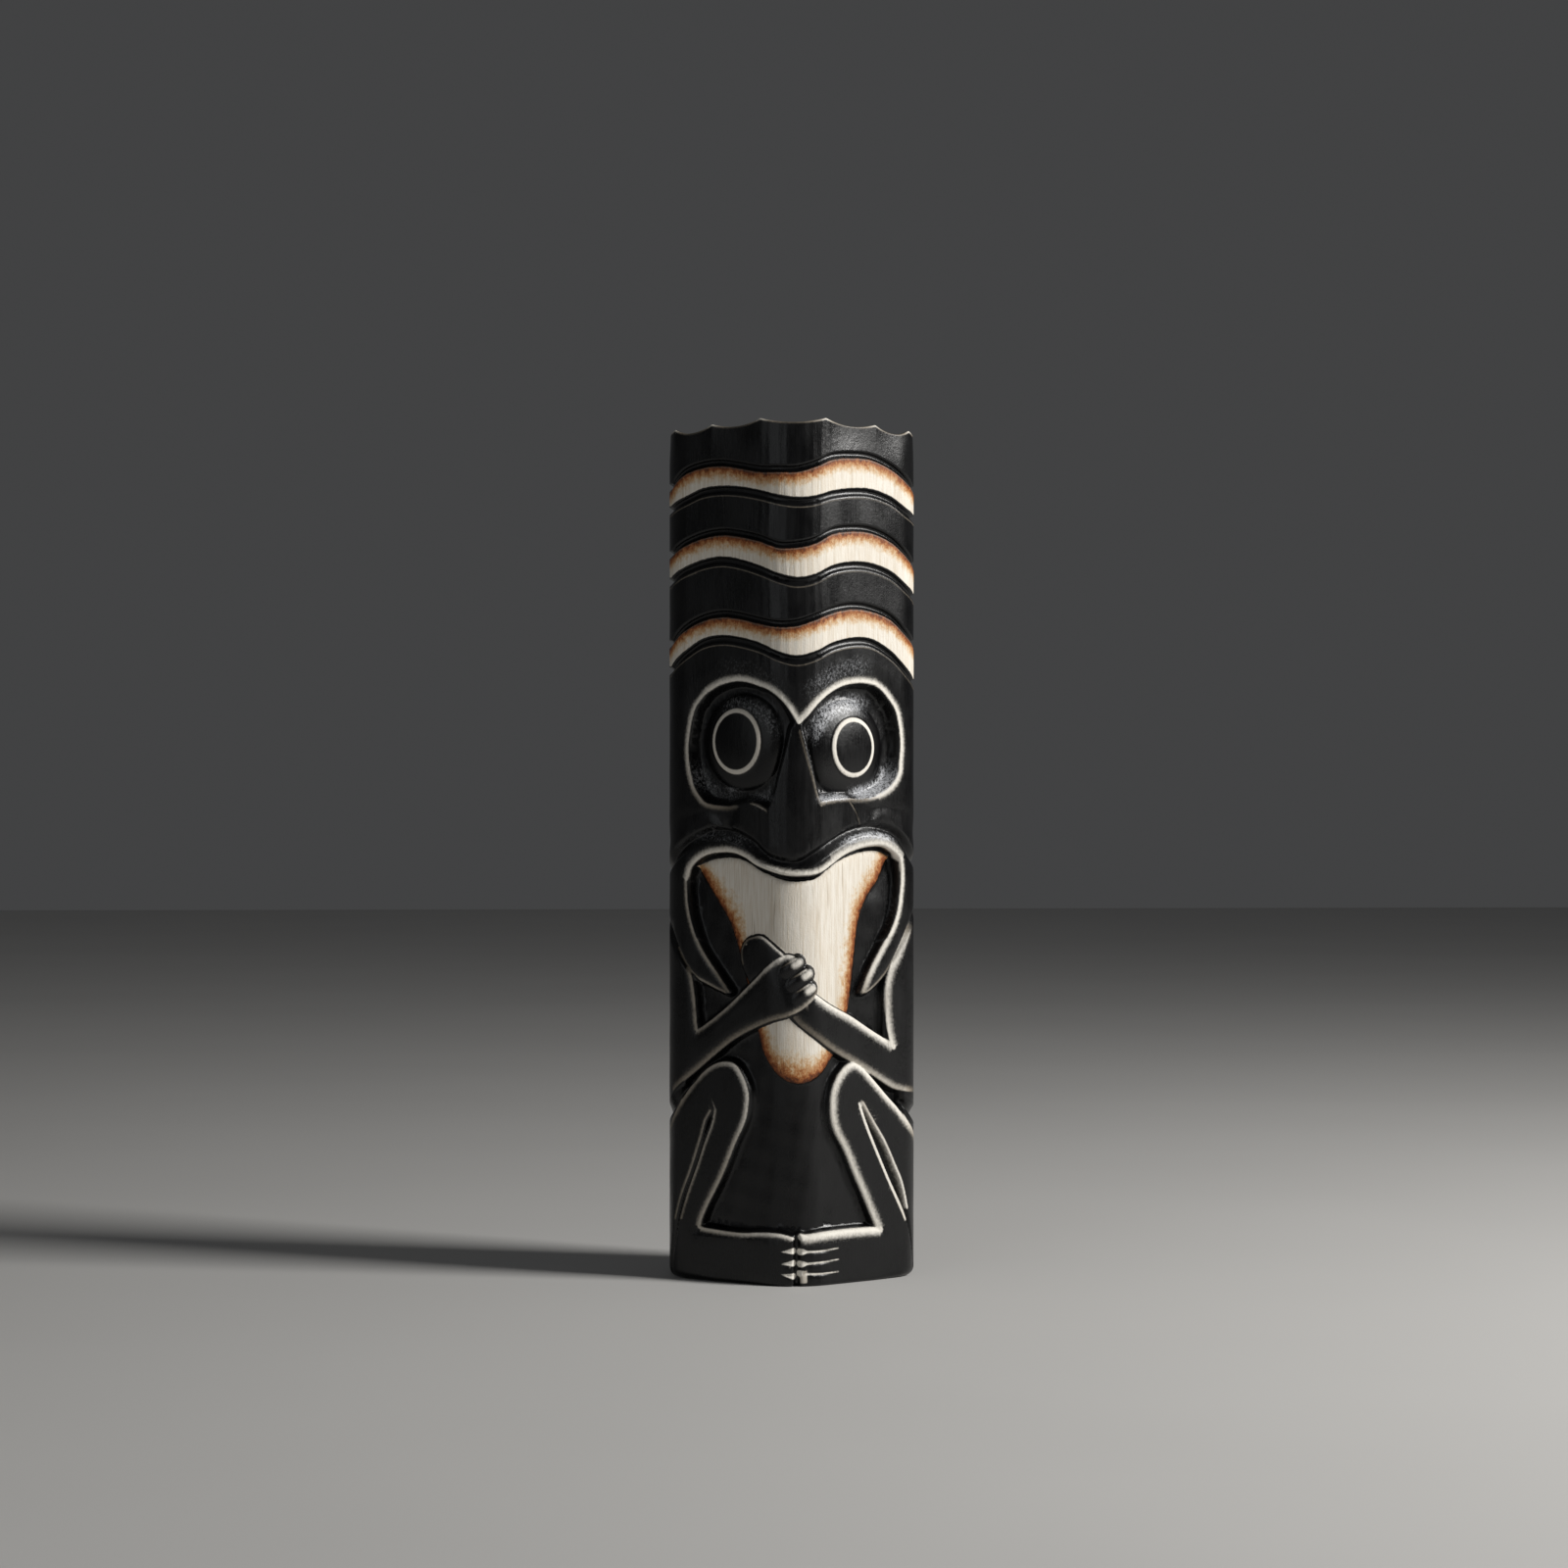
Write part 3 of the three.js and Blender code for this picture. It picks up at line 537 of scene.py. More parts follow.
def tongue(s, z):
    """The tongue's surface, a little crowned along the middle."""
    d = depth_in(s, z, loop(*TONGUE))
    crown = TONGUE_CROWN * np.clip(1 - (np.abs(s) / TONGUE_HALF) ** 2, 0, 1)
    return TONGUE_TOP_LEVEL - TONGUE_CROWN + crown - shoulder(d + 0.3, 5.0, 1.4)


def raised(s, z, outline, level, reach, drop, lap=EDGE_LAP):
    """A form that stands at a level, rounded off towards its outline."""
    return level - shoulder(depth_in(s, z, loop(*outline)) + lap, reach, drop)


def clasped_fist(s, z):
    """The hand that closes over the other wrist, with its fingers folded across it."""
    along = 0.86 * s + 0.51 * (z - 178)
    level = FIST_LEVEL - FIST_RISE * ramp(along, -15, -2)
    fist = raised(s, z, (FIST,), level, 6.0, 2.0, HAND_LAP)
    for tip, root, thick in FINGERS:
        d, share = beside(s, z, np.array([tip, root]))
        t = np.minimum(np.abs(d) / thick, 1)
        finger = FINGER_LEVEL - FINGER_ROUND * (1 - np.sqrt(1 - t * t)) - FINGER_SINK * ramp(share, 0.3, 0.95)
        fist = np.maximum(fist, finger - WALL_SLOPE * np.maximum(0, np.abs(d) - thick))
    return np.where((np.abs(s) < 30) & (z > 148), fist, FAR_BELOW)


def feet(s, z):
    """The block of both feet, rounded off at its upper edge."""
    below = -beside(s, z, curve(FEET_TOP))[0]
    top = RAISED - shoulder(below + EDGE_LAP, 4.2, 1.6) - 0.4 * (1 - ramp(below, 0, 9))
    return np.where(z < 40, top, FAR_BELOW)


def figure(s, z, n):
    """The mouth and the body, and what stands up from them."""
    surface = np.maximum(cut_back(s, z), tongue(s, z))
    surface = np.maximum(surface, raised(s, z, (LEFT_HAND,), LEFT_HAND_LEVEL, 6.0, 1.8, HAND_LAP))
    by_ridge = np.clip(1 - np.abs(s) / RIDGE_SINK_REACH, 0, 1)
    for outline, sink, reach, drop in LIMBS:
        surface = np.maximum(surface, raised(s, z, outline, RAISED - sink * by_ridge, reach, drop))
    surface = np.maximum(surface, clasped_fist(s, z))
    surface = np.maximum(surface, feet(s, z))
    return np.where((np.abs(s) < 76) & (z < 262), np.minimum(n, surface), n)


def thigh_gaps(s, z, n):
    """The long wedges cut between thigh and shin."""
    for outline in (THIGH_GAP_LEFT, THIGH_GAP_RIGHT):
        d = depth_in(s, z, loop(*outline))
        gap = np.maximum(-shoulder(1.2 - d, 2.0, 0.8, 2.6), THIGH_GAP_FLOOR)
        n = np.minimum(n, np.where(d > -1.0, gap, 0))
    return n


def side_cuts(s, z, n):
    """The cuts that part the jaws, arms and legs at the sides and run out behind."""
    for path, wide in SIDE_CUTS:
        d, share = beside(s, z, curve(path))
        fade = ramp(share, 0, 0.2) * (1 - ramp(share, 0.45, 1))
        spread = wide * (0.45 + 0.55 * ramp(share, 0.2, 0.55))
        n = np.minimum(n, -SIDE_CUT_DEPTH * fade * v_cut(d, spread, spread))
    return n


def toes(s, z, n):
    """The toe cuts, and the split between the feet."""
    for toe in (*TOES_LEFT, *TOES_RIGHT):
        d, share = beside(s, z, curve(toe, TOE_STEP))
        n = n - TOE_DEPTH * v_cut(d, TOE_HALF_WIDTH, TOE_HALF_WIDTH) * (1 - ramp(share, 0.5, 1))
    split = np.clip(SPLIT_STEEP * (1 - np.abs(s - 0.1) / SPLIT_HALF_WIDTH), 0, 1)
    return np.minimum(n, -SPLIT_DEPTH * split * (1 - ramp(z, 28.5, 31)))


def foot_edge(s, z):
    """How far the bottom edge is rounded in, more at the sides."""
    reach = 2.6 + 3.0 * ramp(np.abs(s), 50, 80) * (1 - ramp(np.abs(s), 110, 150))
    t = np.clip(1 - z / reach, 0, 1)
    return 0.8 * reach * (1 - np.sqrt(1 - t * t))


def carve(s, z):
    """The height of the carved surface over the post's skin."""
    n = plain_skin(s, z)
    for cut in (headdress_grooves, eyes, cheeks_and_lip, figure, thigh_gaps, side_cuts, toes):
        n = cut(s, z, n)
    return n - foot_edge(s, z)


# The paint

# Lines rubbed bare along raised edges: the path, the side that stands up (1 is its left), the
# line's width and the softness of its inner edge in mm, and how bright it is at even shares of
# the way along. The brightness is partly the wear's own unevenness and partly painted shade:
# lines on the figure's right side and on edges that face down are set dimmer and beiger.
RUBBED = (
    # the lip and the insides of the jaw
    (MOUTH[6:18], 1, 2.8, 2.6, (0.7, 0.7, 0.7, 0.75, 0.8, 0.9)),
    (MOUTH[17:24], 1, 4.0, 5.0, (0.9, 1, 1, 1, 0.9)),
    (MOUTH[23:], 1, 2.6, 2.2, (0.9, 0.85, 0.9, 0.9, 0.9, 0.5)),
    (MOUTH[:7], 1, 1.5, 2.0, (0.3, 0.5, 0.5, 0.55, 0.55)),
    # the jaw's lower edges
    (JAW_RIGHT[3], 1, 1.2, 1.6, (0.4, 0.5, 0.5, 0.35)),
    (JAW_LEFT[0], 1, 1.2, 1.6, (0.6, 0.45, 0.35, 0.1, 0, 0, 0)),
    # the upper arm and fist: above, below and outside
    (ARM_ABOVE[0][1:], 1, 1.7, 2.4, (0.65, 0.6, 0.55, 0.5)),
    (FIST[1:5], -1, 2.4, 2.4, (0.65, 0.75, 0.9, 1)),
    (ARM_ABOVE[3], 1, 2.0, 3.0, (0.3, 0.4, 0.4, 0.38, 0.36, 0.4)),
    ([(-6.5, 155.5), (-3.5, 156.5), (2, 159), (7, 162.5), (11, 166), (13, 170.5)], 1, 1.8, 2.4,
     (0.4, 0.45, 0.5, 0.55, 0.3)),
    ([(-72, 182), (-69.5, 175.5), (-67.5, 162.5), (-66.5, 151.5), (-65.5, 145)], -1, 1.5, 2.0,
     (0.4, 0.5, 0.5, 0.5, 0.5)),
    # the hand that is held
    (LEFT_HAND[4:9], 1, 1.0, 1.2, (0.45, 0.35, 0.3)),
    (LEFT_HAND[1:5], 1, 1.2, 1.4, (0.8, 0.9, 0.8, 0.5)),
    # the arm below: above, below and outside
    ([(13, 166), *ARM_BELOW[0][1:], (67.5, 135)], -1, 3.2, 4.0, (1, 1, 1, 0.9, 0.8)),
    ([(-1, 154.5), (3.5, 150), (14.5, 142.5), (28, 134), (41.5, 127), (54, 120), (65, 113.5), (71, 111),
      (80, 109.5), (90, 108.5)], 1, 2.4, 3.2, (0.3, 0.35, 0.42, 0.5, 0.6, 0.7, 0.6, 0.1)),
    ([(86, 209.5), (77, 198), (70.5, 187), (66.5, 180.5), (63.5, 170), (63.5, 157), (65, 143.5), (67.5, 135)],
     1, 2.8, 3.6, (0, 0.6, 0.95, 0.95, 0.9, 0.85, 0.85, 0.85, 0.9)),
    # legs, feet and the gaps between thigh and shin
    (LEG_RIGHT[0], -1, 2.0, 2.6, (0.3, 0.4, 0.5, 0.6, 0.8, 0.8, 0.6, 0.55, 0.55, 0.55)),
    (LEG_LEFT[0], -1, 3.2, 3.4, (0.9, 0.85, 0.8, 0.8, 0.8, 0.85, 0.9, 1, 1, 0.9, 0.7, 0.4)),
    ([(-63, 30.5), *FEET_TOP[2:8]], -1, 2.0, 2.0, (0.6, 0.6, 0.6, 0.8, 1, 1)),
    (FEET_TOP[8:14], -1, 4.0, 3.4, (1, 1, 1, 1, 1, 0.8)),
    (THIGH_GAP_LEFT[0][:5], 1, 2.2, 2.2, (0.9, 0.9, 0.8, 0.8, 0.7)),
    (THIGH_GAP_LEFT[1][2:], 1, 2.0, 2.4, (0.9, 0.9, 0.8, 0.7, 0.6)),
    (THIGH_GAP_RIGHT[0][:6], -1, 1.3, 1.6, (0.5, 0.5, 0.45, 0.35)),
    (THIGH_GAP_RIGHT[1][2:], -1, 1.3, 1.8, (0.4, 0.5, 0.55, 0.6)),
    # brows and nose
    (BROW_LEFT[:9], 1, 3.0, 3.0, (1, 1, 1, 1, 1)),
    (BROW_LEFT[8:20], 1, 2.8, 2.6, (1, 1, 0.95, 0.85, 0.7)),
    (BROW_LEFT[19:], 1, 1.5, 2.0, (0.7, 0.45, 0.35, 0.35, 0.5)),
    (BROW_RIGHT[3:16], 1, 2.2, 2.2, (0.1, 0.5, 0.65, 0.7, 0.75)),
    (BROW_RIGHT[15:], 1, 2.8, 2.8, (0.75, 0.85, 1, 1)),
    ([(-29, 277.5), (-24, 276), (-18, 273)], 1, 1.0, 1.4, (0.4, 0.6, 0.4)),
    (NOSE_LEFT, 1, 0.9, 1.6, (0.4, 0.35, 0.25, 0.2)),
    ([(34, 279.5), (38.5, 274), (42, 268.5), (43.5, 265)], 1, 0.8, 1.4, (0.3, 0.25, 0.1)),
)
# Places with a pale dusting, partly paint left by a dry brush and partly a painted sheen standing for
# highlights on the black: the path, how far it spreads, and how strongly
DUST_AND_SHEEN_PLACES = (
    ([(71.5, 306), (68, 296.5), (62.5, 289), (54, 285), (44, 283.3), (34, 282.8)], 6.0, 1.0),
    ([(9, 308), (14, 319), (22, 328.5), (33, 334), (45, 334.5), (56, 329)], 7.0, 0.8),
    ([(24, 250.5), (38, 256.5), (52, 258.8), (64, 257), (73, 252)], 3.8, 0.9),
    ([(2, 336), (10, 343), (22, 351.5), (38, 356.5), (56, 355)], 8.0, 0.3),
    ([(38, 281.8), (31, 281.4), (24, 281), (17, 280.4), (10, 280)], 3.4, 1.0),
)
DUST_AND_SHEEN_REACH = 12.0
DUST_AND_SHEEN_IN_SHADE = 0.35    # the figure's right side is dusted as the left, but weaker, as painted shade
RING_LINE = 1.45        # half the width of the pupils' rings
RUB_FULL = 0.6          # mm in from a line's edge where it is bare to the full
LINE_REACH, TOE_REACH = 14.0, 6.0
UNTOUCHED = -9.0        # far outside any rubbed line
RIM_LINE_WIDTH, LIP_LINE_WIDTH = 0.9, 0.5   # how wide the pale lines along the rim's edge and the grooves' lips are
# What covers the cream tongue, and how much black it keeps around it
COVERS = (((LEFT_HAND,), 1.7), ((FIST,), 1.9), (ARM_BELOW, 2.2), (ARM_ABOVE, 2.2))
FINGER_COVER = 0.9
BARE_FROM, BARE_TO = 0.3, 0.2   # how far within its edges a band is bare


def bare_lines(s, z):
    """The lines along raised edges: sharp at the edge, soft on the inner side."""
    for points, side, width, soft, powers in RUBBED:
        d, share = beside(s, z, curve(points), LINE_REACH)
        over = d * side + width / 2
        into = np.minimum(over, (width - over) * RUB_FULL / soft + RUB_FULL / 2)
        past_end = (share <= 0) | (share >= 1)
        into = np.where(past_end, np.minimum(into, width / 2 - np.abs(d)), into)
        into = np.where(np.abs(d) >= LINE_REACH, UNTOUCHED, into)
        yield into, np.interp(share, np.linspace(0, 1, len(powers)), powers)


def bare_rings(s, z):
    """The rings round the pupils; the right one is set dimmer, as painted shade."""
    for (s0, z0, wide, tall), power in ((RING_LEFT, 1.0), (RING_RIGHT, 0.7)):
        rho = np.sqrt(((s - s0) / wide) ** 2 + ((z - z0) / tall) ** 2)
        yield RING_LINE - np.abs(rho - 1) * (wide + tall) / 2, power


def bare_toes(s, z):
    """The toe cuts, widest by the split, and the block at the split's foot."""
    for toe in TOES_LEFT:
        d, share = beside(s, z, curve(toe, TOE_STEP), TOE_REACH)
        thick = 0.9 + 1.2 * (1 - ramp(share, 0.02, 0.2)) - 0.35 * share
        yield np.where(np.abs(d) < TOE_REACH, thick - np.abs(d), UNTOUCHED), 1.0 - 0.3 * share
    for toe in TOES_RIGHT:
        d, share = beside(s, z, curve(toe, TOE_STEP), TOE_REACH)
        yield np.where(np.abs(d) < TOE_REACH, 2.0 - 1.7 * share - np.abs(d), UNTOUCHED), 1.0
    yield np.minimum(2.2 - np.abs(s - 4.2), 3.8 - np.abs(z - 5.6)), 0.6


def bare_fingers(s, z):
    """The fingers' tips and upper edges, and a spot on the hand that is held."""
    for (s0, z0), _, thick in FINGERS:
        tip = np.array([(s0 + 0.6, z0 + 0.3), (s0 - 2.0, z0 - 1.3)])
        yield (0.58 * thick - np.abs(beside(s, z, tip, 9.0)[0])) * 0.3, 1.0
        start = np.array([s0, z0]) + 0.6 * thick * np.array([-0.51, 0.86])
        edge = np.array([start, start + (-9.5, -5.6)])
        d, share = beside(s, z, edge, TOE_REACH)
        yield 0.75 - 0.3 * share - np.abs(d), 0.85 * (1 - share)
    yield 1.0 - np.hypot(s + 33, (z - 196.2) * 1.4), 0.5


def headdress_edge_lines(s, z):
    """Pale lines along the rim's edge and along the grooves' lips; those on the lips are partly worn paint
    and partly a painted highlight.
    """
    yield (z - rim_edge(s) + RIM_LINE_WIDTH) * 0.8, 0.75 - 0.6 * scoop_share(s)
    fade = 1 - ramp(np.abs(s), GROOVE_END - 30, GROOVE_END - 6)
    for low, high in BANDS:
        for edge in (band_edge(s, low) - GROOVE_ABOVE - GROOVE_BELOW, band_edge(s, high) + 0.2):
            yield LIP_LINE_WIDTH - np.abs(z - edge + 0.9), 0.3 * fade


def rubbed(s, z):
    """How far in from the edge of a rubbed line each place is, and that line's brightness, which is partly
    painted shade.
    """
    best = np.full(s.shape, UNTOUCHED)
    bright = np.zeros(s.shape)
    for kind in (bare_lines, bare_rings, bare_toes, bare_fingers, headdress_edge_lines):
        for into, power in kind(s, z):
            closer = into > best
            best[closer] = into[closer]
            bright[closer] = np.broadcast_to(power, s.shape)[closer]
    return best, bright


def dusted(s, z):
    """How strongly each place gets the pale dusting: dry-brushed paint and a painted sheen on the black."""
    most = np.zeros(s.shape)
    for points, spread, power in DUST_AND_SHEEN_PLACES:
        for side, strength in ((1, power), (-1, DUST_AND_SHEEN_IN_SHADE * power)):
            d, share = beside(s * side, z, curve(points), DUST_AND_SHEEN_REACH)
            ends = ramp(share, 0, 0.3) * (1 - ramp(share, 0.75, 1))
            most = np.maximum(most, strength * ends * (1 - ramp(np.abs(d), 0.25 * spread, spread)))
    return most


def painted_edges(s, z):
    """How far in from the edge of the cream paint each place is, and from its scorched edge."""
    closing = 12 * ramp(np.abs(s), BAND_END - BAND_TAPER, BAND_END + BAND_TAPER)
    cream = np.full(s.shape, FAR_BELOW)
    scorched = np.full(s.shape, 9.0)
    for low, high in BANDS:
        bottom, top = band_edge(s, low) + BARE_FROM, band_edge(s, high) - BARE_TO
        into = np.minimum(z - bottom, top - z) - closing
        near = into > cream
        cream[near] = into[near]
        scorched[near] = (0.9 * (top - z) - 0.7 * closing)[near]
    into = depth_in(s, z, loop(*TONGUE))
    for outline, black in COVERS:
        into = np.minimum(into, -depth_in(s, z, loop(*outline)) - black)
    for tip, root, thick in FINGERS:
        away = np.abs(beside(s, z, np.array([tip, root]))[0])
        into = np.minimum(into, away - thick - FINGER_COVER)
    near = into > cream
    cream[near] = into[near]
    # Only the tongue's sides and tip are scorched, the tip the widest
    side = np.abs(beside(s, z, curve(TONGUE[1]))[0]) * (0.62 + 0.24 * ramp(z, 122, 150))
    scorched[near] = side[near]
    return cream, scorched


def colour(red, green, blue):
    """A colour given in 0-255 steps, as the shader wants it."""
    def linear(c):
        c /= 255
        return c / 12.92 if c <= 0.04045 else ((c + 0.055) / 1.055) ** 2.4
    return linear(red), linear(green), linear(blue), 1.0


class Finish:
    """A material, built one node after another."""

    def __init__(self, name):
        self.material = bpy.data.materials.new(name)
        self.material.use_nodes = True
        self.tree = self.material.node_tree
        self.tree.nodes.clear()
        self.coordinates = self.tree.nodes.new("ShaderNodeTexCoord").outputs["Object"]

    def feed(self, socket, value):
        if isinstance(value, bpy.types.NodeSocket):
            self.tree.links.new(value, socket)
        else:
            socket.default_value = value

    def node(self, kind, inputs, **settings):
        node = self.tree.nodes.new(kind)
        for key, value in settings.items():
            setattr(node, key, value)
        for key, value in inputs.items():
            self.feed(node.inputs[key], value)
        return node

    def attribute(self, name):
        return self.node("ShaderNodeAttribute", {}, attribute_name=name).outputs["Fac"]

    def math(self, operation, a, b=0.0):
        return self.node("ShaderNodeMath", {0: a, 1: b}, operation=operation).outputs[0]

    def span(self, value, start, end, low=0.0, high=1.0, smooth=True):
        inputs = {"Value": value, "From Min": start, "From Max": end, "To Min": low, "To Max": high}
        kind = "SMOOTHSTEP" if smooth else "LINEAR"
        return self.node("ShaderNodeMapRange", inputs, interpolation_type=kind).outputs[0]

    def noise(self, stretch, detail=3.0, roughness=0.5, distortion=0.0):
        """Noise with so many cells a metre along x, y and z."""
        place = self.node("ShaderNodeMapping", {"Vector": self.coordinates, "Scale": stretch}).outputs[0]
        inputs = {"Vector": place, "Scale": 1.0, "Detail": detail, "Roughness": roughness,
                  "Distortion": distortion}
        return self.node("ShaderNodeTexNoise", inputs).outputs["Fac"]

    def sway(self, noise, size):
        """Noise turned into a swing of about a quarter of size to either side."""
        inputs = {0: noise, 1: size, 2: -size / 2}
        return self.node("ShaderNodeMath", inputs, operation="MULTIPLY_ADD").outputs[0]

    def mix(self, share, a, b, blend="MIX"):
        node = self.node("ShaderNodeMix", {0: share}, data_type="RGBA", blend_type=blend)
        self.feed(node.inputs[6], a)
        self.feed(node.inputs[7], b)
        return node.outputs[2]

    def ramp(self, value, *stops):
        node = self.node("ShaderNodeValToRGB", {"Fac": value})
        elements = node.color_ramp.elements
        while len(elements) < len(stops):
            elements.new(0.5)
        for element, (place, tint) in zip(elements, stops):
            element.position = place
            element.color = tint
        return node.outputs["Color"]

    def bump(self, height, strength, distance, below=None):
        inputs = {"Height": height, "Strength": strength, "Distance": distance}
        if below is not None:
            inputs["Normal"] = below
        return self.node("ShaderNodeBump", inputs).outputs["Normal"]

    def surface(self, **inputs):
        inputs = {key.replace("_", " "): value for key, value in inputs.items()}
        shader = self.node("ShaderNodeBsdfPrincipled", inputs)
        output = self.tree.nodes.new("ShaderNodeOutputMaterial")
        self.tree.links.new(shader.outputs[0], output.inputs[0])
        return self.material


def painted_resin():
    """Black paint over cream, scorched and rubbed bare along the edges."""
    f = Finish("painted_resin")
    fibres = f.noise((1500, 1500, 55), 3.0, 0.62)
    broad_fibres = f.noise((420, 420, 16), 2.0, 0.5)
    cracks = f.noise((1000, 1000, 26), 1.0, 0.4)
    clouds = f.noise((60, 60, 34), 3.0, 0.55)
    speckle = f.noise((1150, 1150, 950), 2.0, 0.6)
    mottle = f.noise((380, 380, 300), 4.0, 0.7)

    # Cream, with fine upright fibres
    cream = f.mix(f.span(fibres, 0.38, 0.66), colour(236, 230, 219), colour(220, 210, 194))
    cream = f.mix(f.span(broad_fibres, 0.54, 0.74, 0.0, 0.6), cream, colour(205, 190, 168))
    cream = f.mix(f.span(cracks, 0.70, 0.77, 0.0, 0.6), cream, colour(150, 130, 104))
    cream = f.mix(f.span(clouds, 0.5, 0.75, 0.0, 0.35), cream, colour(214, 198, 174))

    # ... scorched along one edge
    wander = f.math("ADD", f.sway(mottle, 9.0), f.sway(speckle, 3.0))
    burnt = f.math("ADD", f.attribute("scorched"), wander)
    heat = f.ramp(
        f.span(burnt, -1.0, 8.0, smooth=False),
        (0.0, colour(58, 30, 16)),
        (0.14, colour(106, 56, 26)),
        (0.3, colour(160, 92, 44)),
        (0.42, colour(196, 138, 88)),
        (0.6, colour(226, 190, 150)),
        (0.82, colour(248, 238, 224)),
        (1.0, (1, 1, 1, 1)),
    )
    cream = f.mix(1.0, cream, heat, "MULTIPLY")

    # Black paint, a little worn by handling
    black = f.mix(f.span(clouds, 0.35, 0.7), colour(5, 5, 6), colour(12, 12, 13))
    black = f.mix(f.span(speckle, 0.64, 0.8, 0.0, 0.25), black, colour(44, 45, 48))

    # The edge between them wavers a little
    is_cream = f.span(f.math("ADD", f.attribute("cream"), f.sway(mottle, 1.0)), -0.25, 0.25)
    base = f.mix(is_cream, black, cream)

    # Rubbed lines, frayed and dusty at the edge, broken by the fibres; a low power dims a line and tints it
    # beige, partly as painted shade
    power = f.attribute("rubbed_power")
    edge = f.attribute("rubbed")
    fray = f.sway(f.noise((700, 700, 640), 3.0, 0.6), 0.5)
    rub = f.span(f.math("ADD", edge, fray), -0.12, 0.66)
    specks = f.math("MULTIPLY", f.span(edge, -0.4, 0.3, 0.0, 0.25), f.span(speckle, 0.5, 0.68))
    rub = f.math("MAXIMUM", rub, specks)
    rub = f.math("MULTIPLY", rub, f.span(power, 0.0, 0.7, smooth=False))
    bare_tint_with_shade = f.mix(f.span(power, 0.3, 0.9), colour(176, 164, 146), colour(238, 233, 223))
    bare_tint_with_shade = f.mix(f.span(fibres, 0.55, 0.75, 0.0, 0.5), bare_tint_with_shade, colour(176, 160, 138))
    base = f.mix(rub, base, bare_tint_with_shade)

    # Fine pale dust: partly paint left by a dry brush, partly a painted sheen on the black paint
    dust_and_sheen_share = f.attribute("dusted")
    grains = f.math("ADD", f.noise((900, 900, 620), 4.0, 0.78, 0.3), f.math("MULTIPLY", dust_and_sheen_share, 0.12))
    dust = f.math("MULTIPLY", dust_and_sheen_share, f.span(grains, 0.49, 0.68))
    base = f.mix(dust, base, colour(204, 206, 210))

    # The black shines, the bare places are dull
    bare_wood = f.math("MAXIMUM", is_cream, rub)
    shine = f.span(f.math("ADD", f.sway(fibres, 0.5), clouds), 0.3, 0.7, 0.24, 0.36)
    roughness = f.mix(bare_wood, shine, (0.55, 0.55, 0.55, 1))
    normal = f.bump(fibres, f.span(bare_wood, 0.0, 1.0, 0.16, 0.5), 0.4 * MM)
    normal = f.bump(speckle, f.span(bare_wood, 0.0, 1.0, 0.12, 0.3), 0.4 * MM, normal)
    normal = f.bump(mottle, 0.16, 0.8 * MM, normal)
    return f.surface(Base_Color=base, Roughness=roughness, IOR=1.42, Normal=normal)


def pale_floor():
    """The stage's floor."""
    f = Finish("pale_floor")
    tone = f.mix(f.noise((3, 3, 3), 2.0), colour(196, 195, 193), colour(202, 201, 199))
    return f.surface(Base_Color=tone, Roughness=0.7, IOR=1.45)


# The sheet, laid around the post


def sheet_columns():
    """Places of the sheet's columns: fine over the front, coarser round the back."""
    fine = FINE_STEP
    half = list(np.arange(0, FINE_REACH, fine))
    while half[-1] < HALF_SKIN - 1.5:
        coarser = np.clip((half[-1] - FINE_REACH) / 34, 0, 1)
        half.append(half[-1] + fine + (COARSE_STEP - fine) * coarser)
    half[-1] = HALF_SKIN
    half = np.array(half)
    return np.concatenate([-half[:0:-1], half])


def leaning_rows(columns, rows):
    """Every column's heights: the rows lean to follow the headdress's grooves and the rim."""
    step = rows[1]
    follow = 1 - ramp(np.abs(columns), GROOVE_END, GROOVE_END + 30)
    front = np.abs(columns) < FINE_REACH
    level_rows = [0.0, LEANING_FROM]
    leant = [np.zeros(len(columns)), np.full(len(columns), LEANING_FROM)]
    for bottom in groove_bottoms(columns):
        row = np.rint(bottom[front].mean() / step) * step
        for rise in (-GROOVE_BELOW, 0.0, GROOVE_ABOVE):
            level_rows.append(row + np.rint(rise / step) * step)
            leant.append(level_rows[-1] + (bottom + rise - level_rows[-1]) * follow)
    level_rows.append(HEIGHT)
    leant.append(rim_edge(columns))
    return np.array([np.interp(rows, level_rows, heights) for heights in np.array(leant).T])


def post_sheet():
    """A flat grid, bent around the post and carved."""
    columns = sheet_columns()
    rows = np.linspace(0, HEIGHT, int(HEIGHT / ROW_STEP) + 1)
    grid = bmesh.new()
    bmesh.ops.create_grid(grid, x_segments=len(columns) - 1, y_segments=len(rows) - 1, size=1)
    mesh = bpy.data.meshes.new("carved_statue")
    grid.to_mesh(mesh)
    grid.free()
    flat = np.empty(len(mesh.vertices) * 3, np.float32)
    mesh.vertices.foreach_get("co", flat)
    flat = flat.reshape(-1, 3)
    column = np.rint((flat[:, 0] + 1) / 2 * (len(columns) - 1)).astype(int)
    row = np.rint((flat[:, 1] + 1) / 2 * (len(rows) - 1)).astype(int)
    around = columns[column]
    up = leaning_rows(columns, rows)[column, row]
    # The first and the last column meet at the seam, so both are carved as the first
    level = carve(np.where(column == len(columns) - 1, -HALF_SKIN, around), up)
    x, y, nx, ny = skin(around)
    place = np.stack([x + nx * level, y + ny * level - DEPTH / 2, up], 1) * MM
    mesh.vertices.foreach_set("co", place.astype(np.float32).ravel())
    keep_with(mesh, around=around, level=level)
    return mesh


def keep_with(mesh, **layers):
    """Keeps a number for each vertex of a mesh, under each name."""
    for name, values in layers.items():
        layer = mesh.attributes.new(name, "FLOAT", "POINT")
        layer.data.foreach_set("value", values.astype(np.float32))


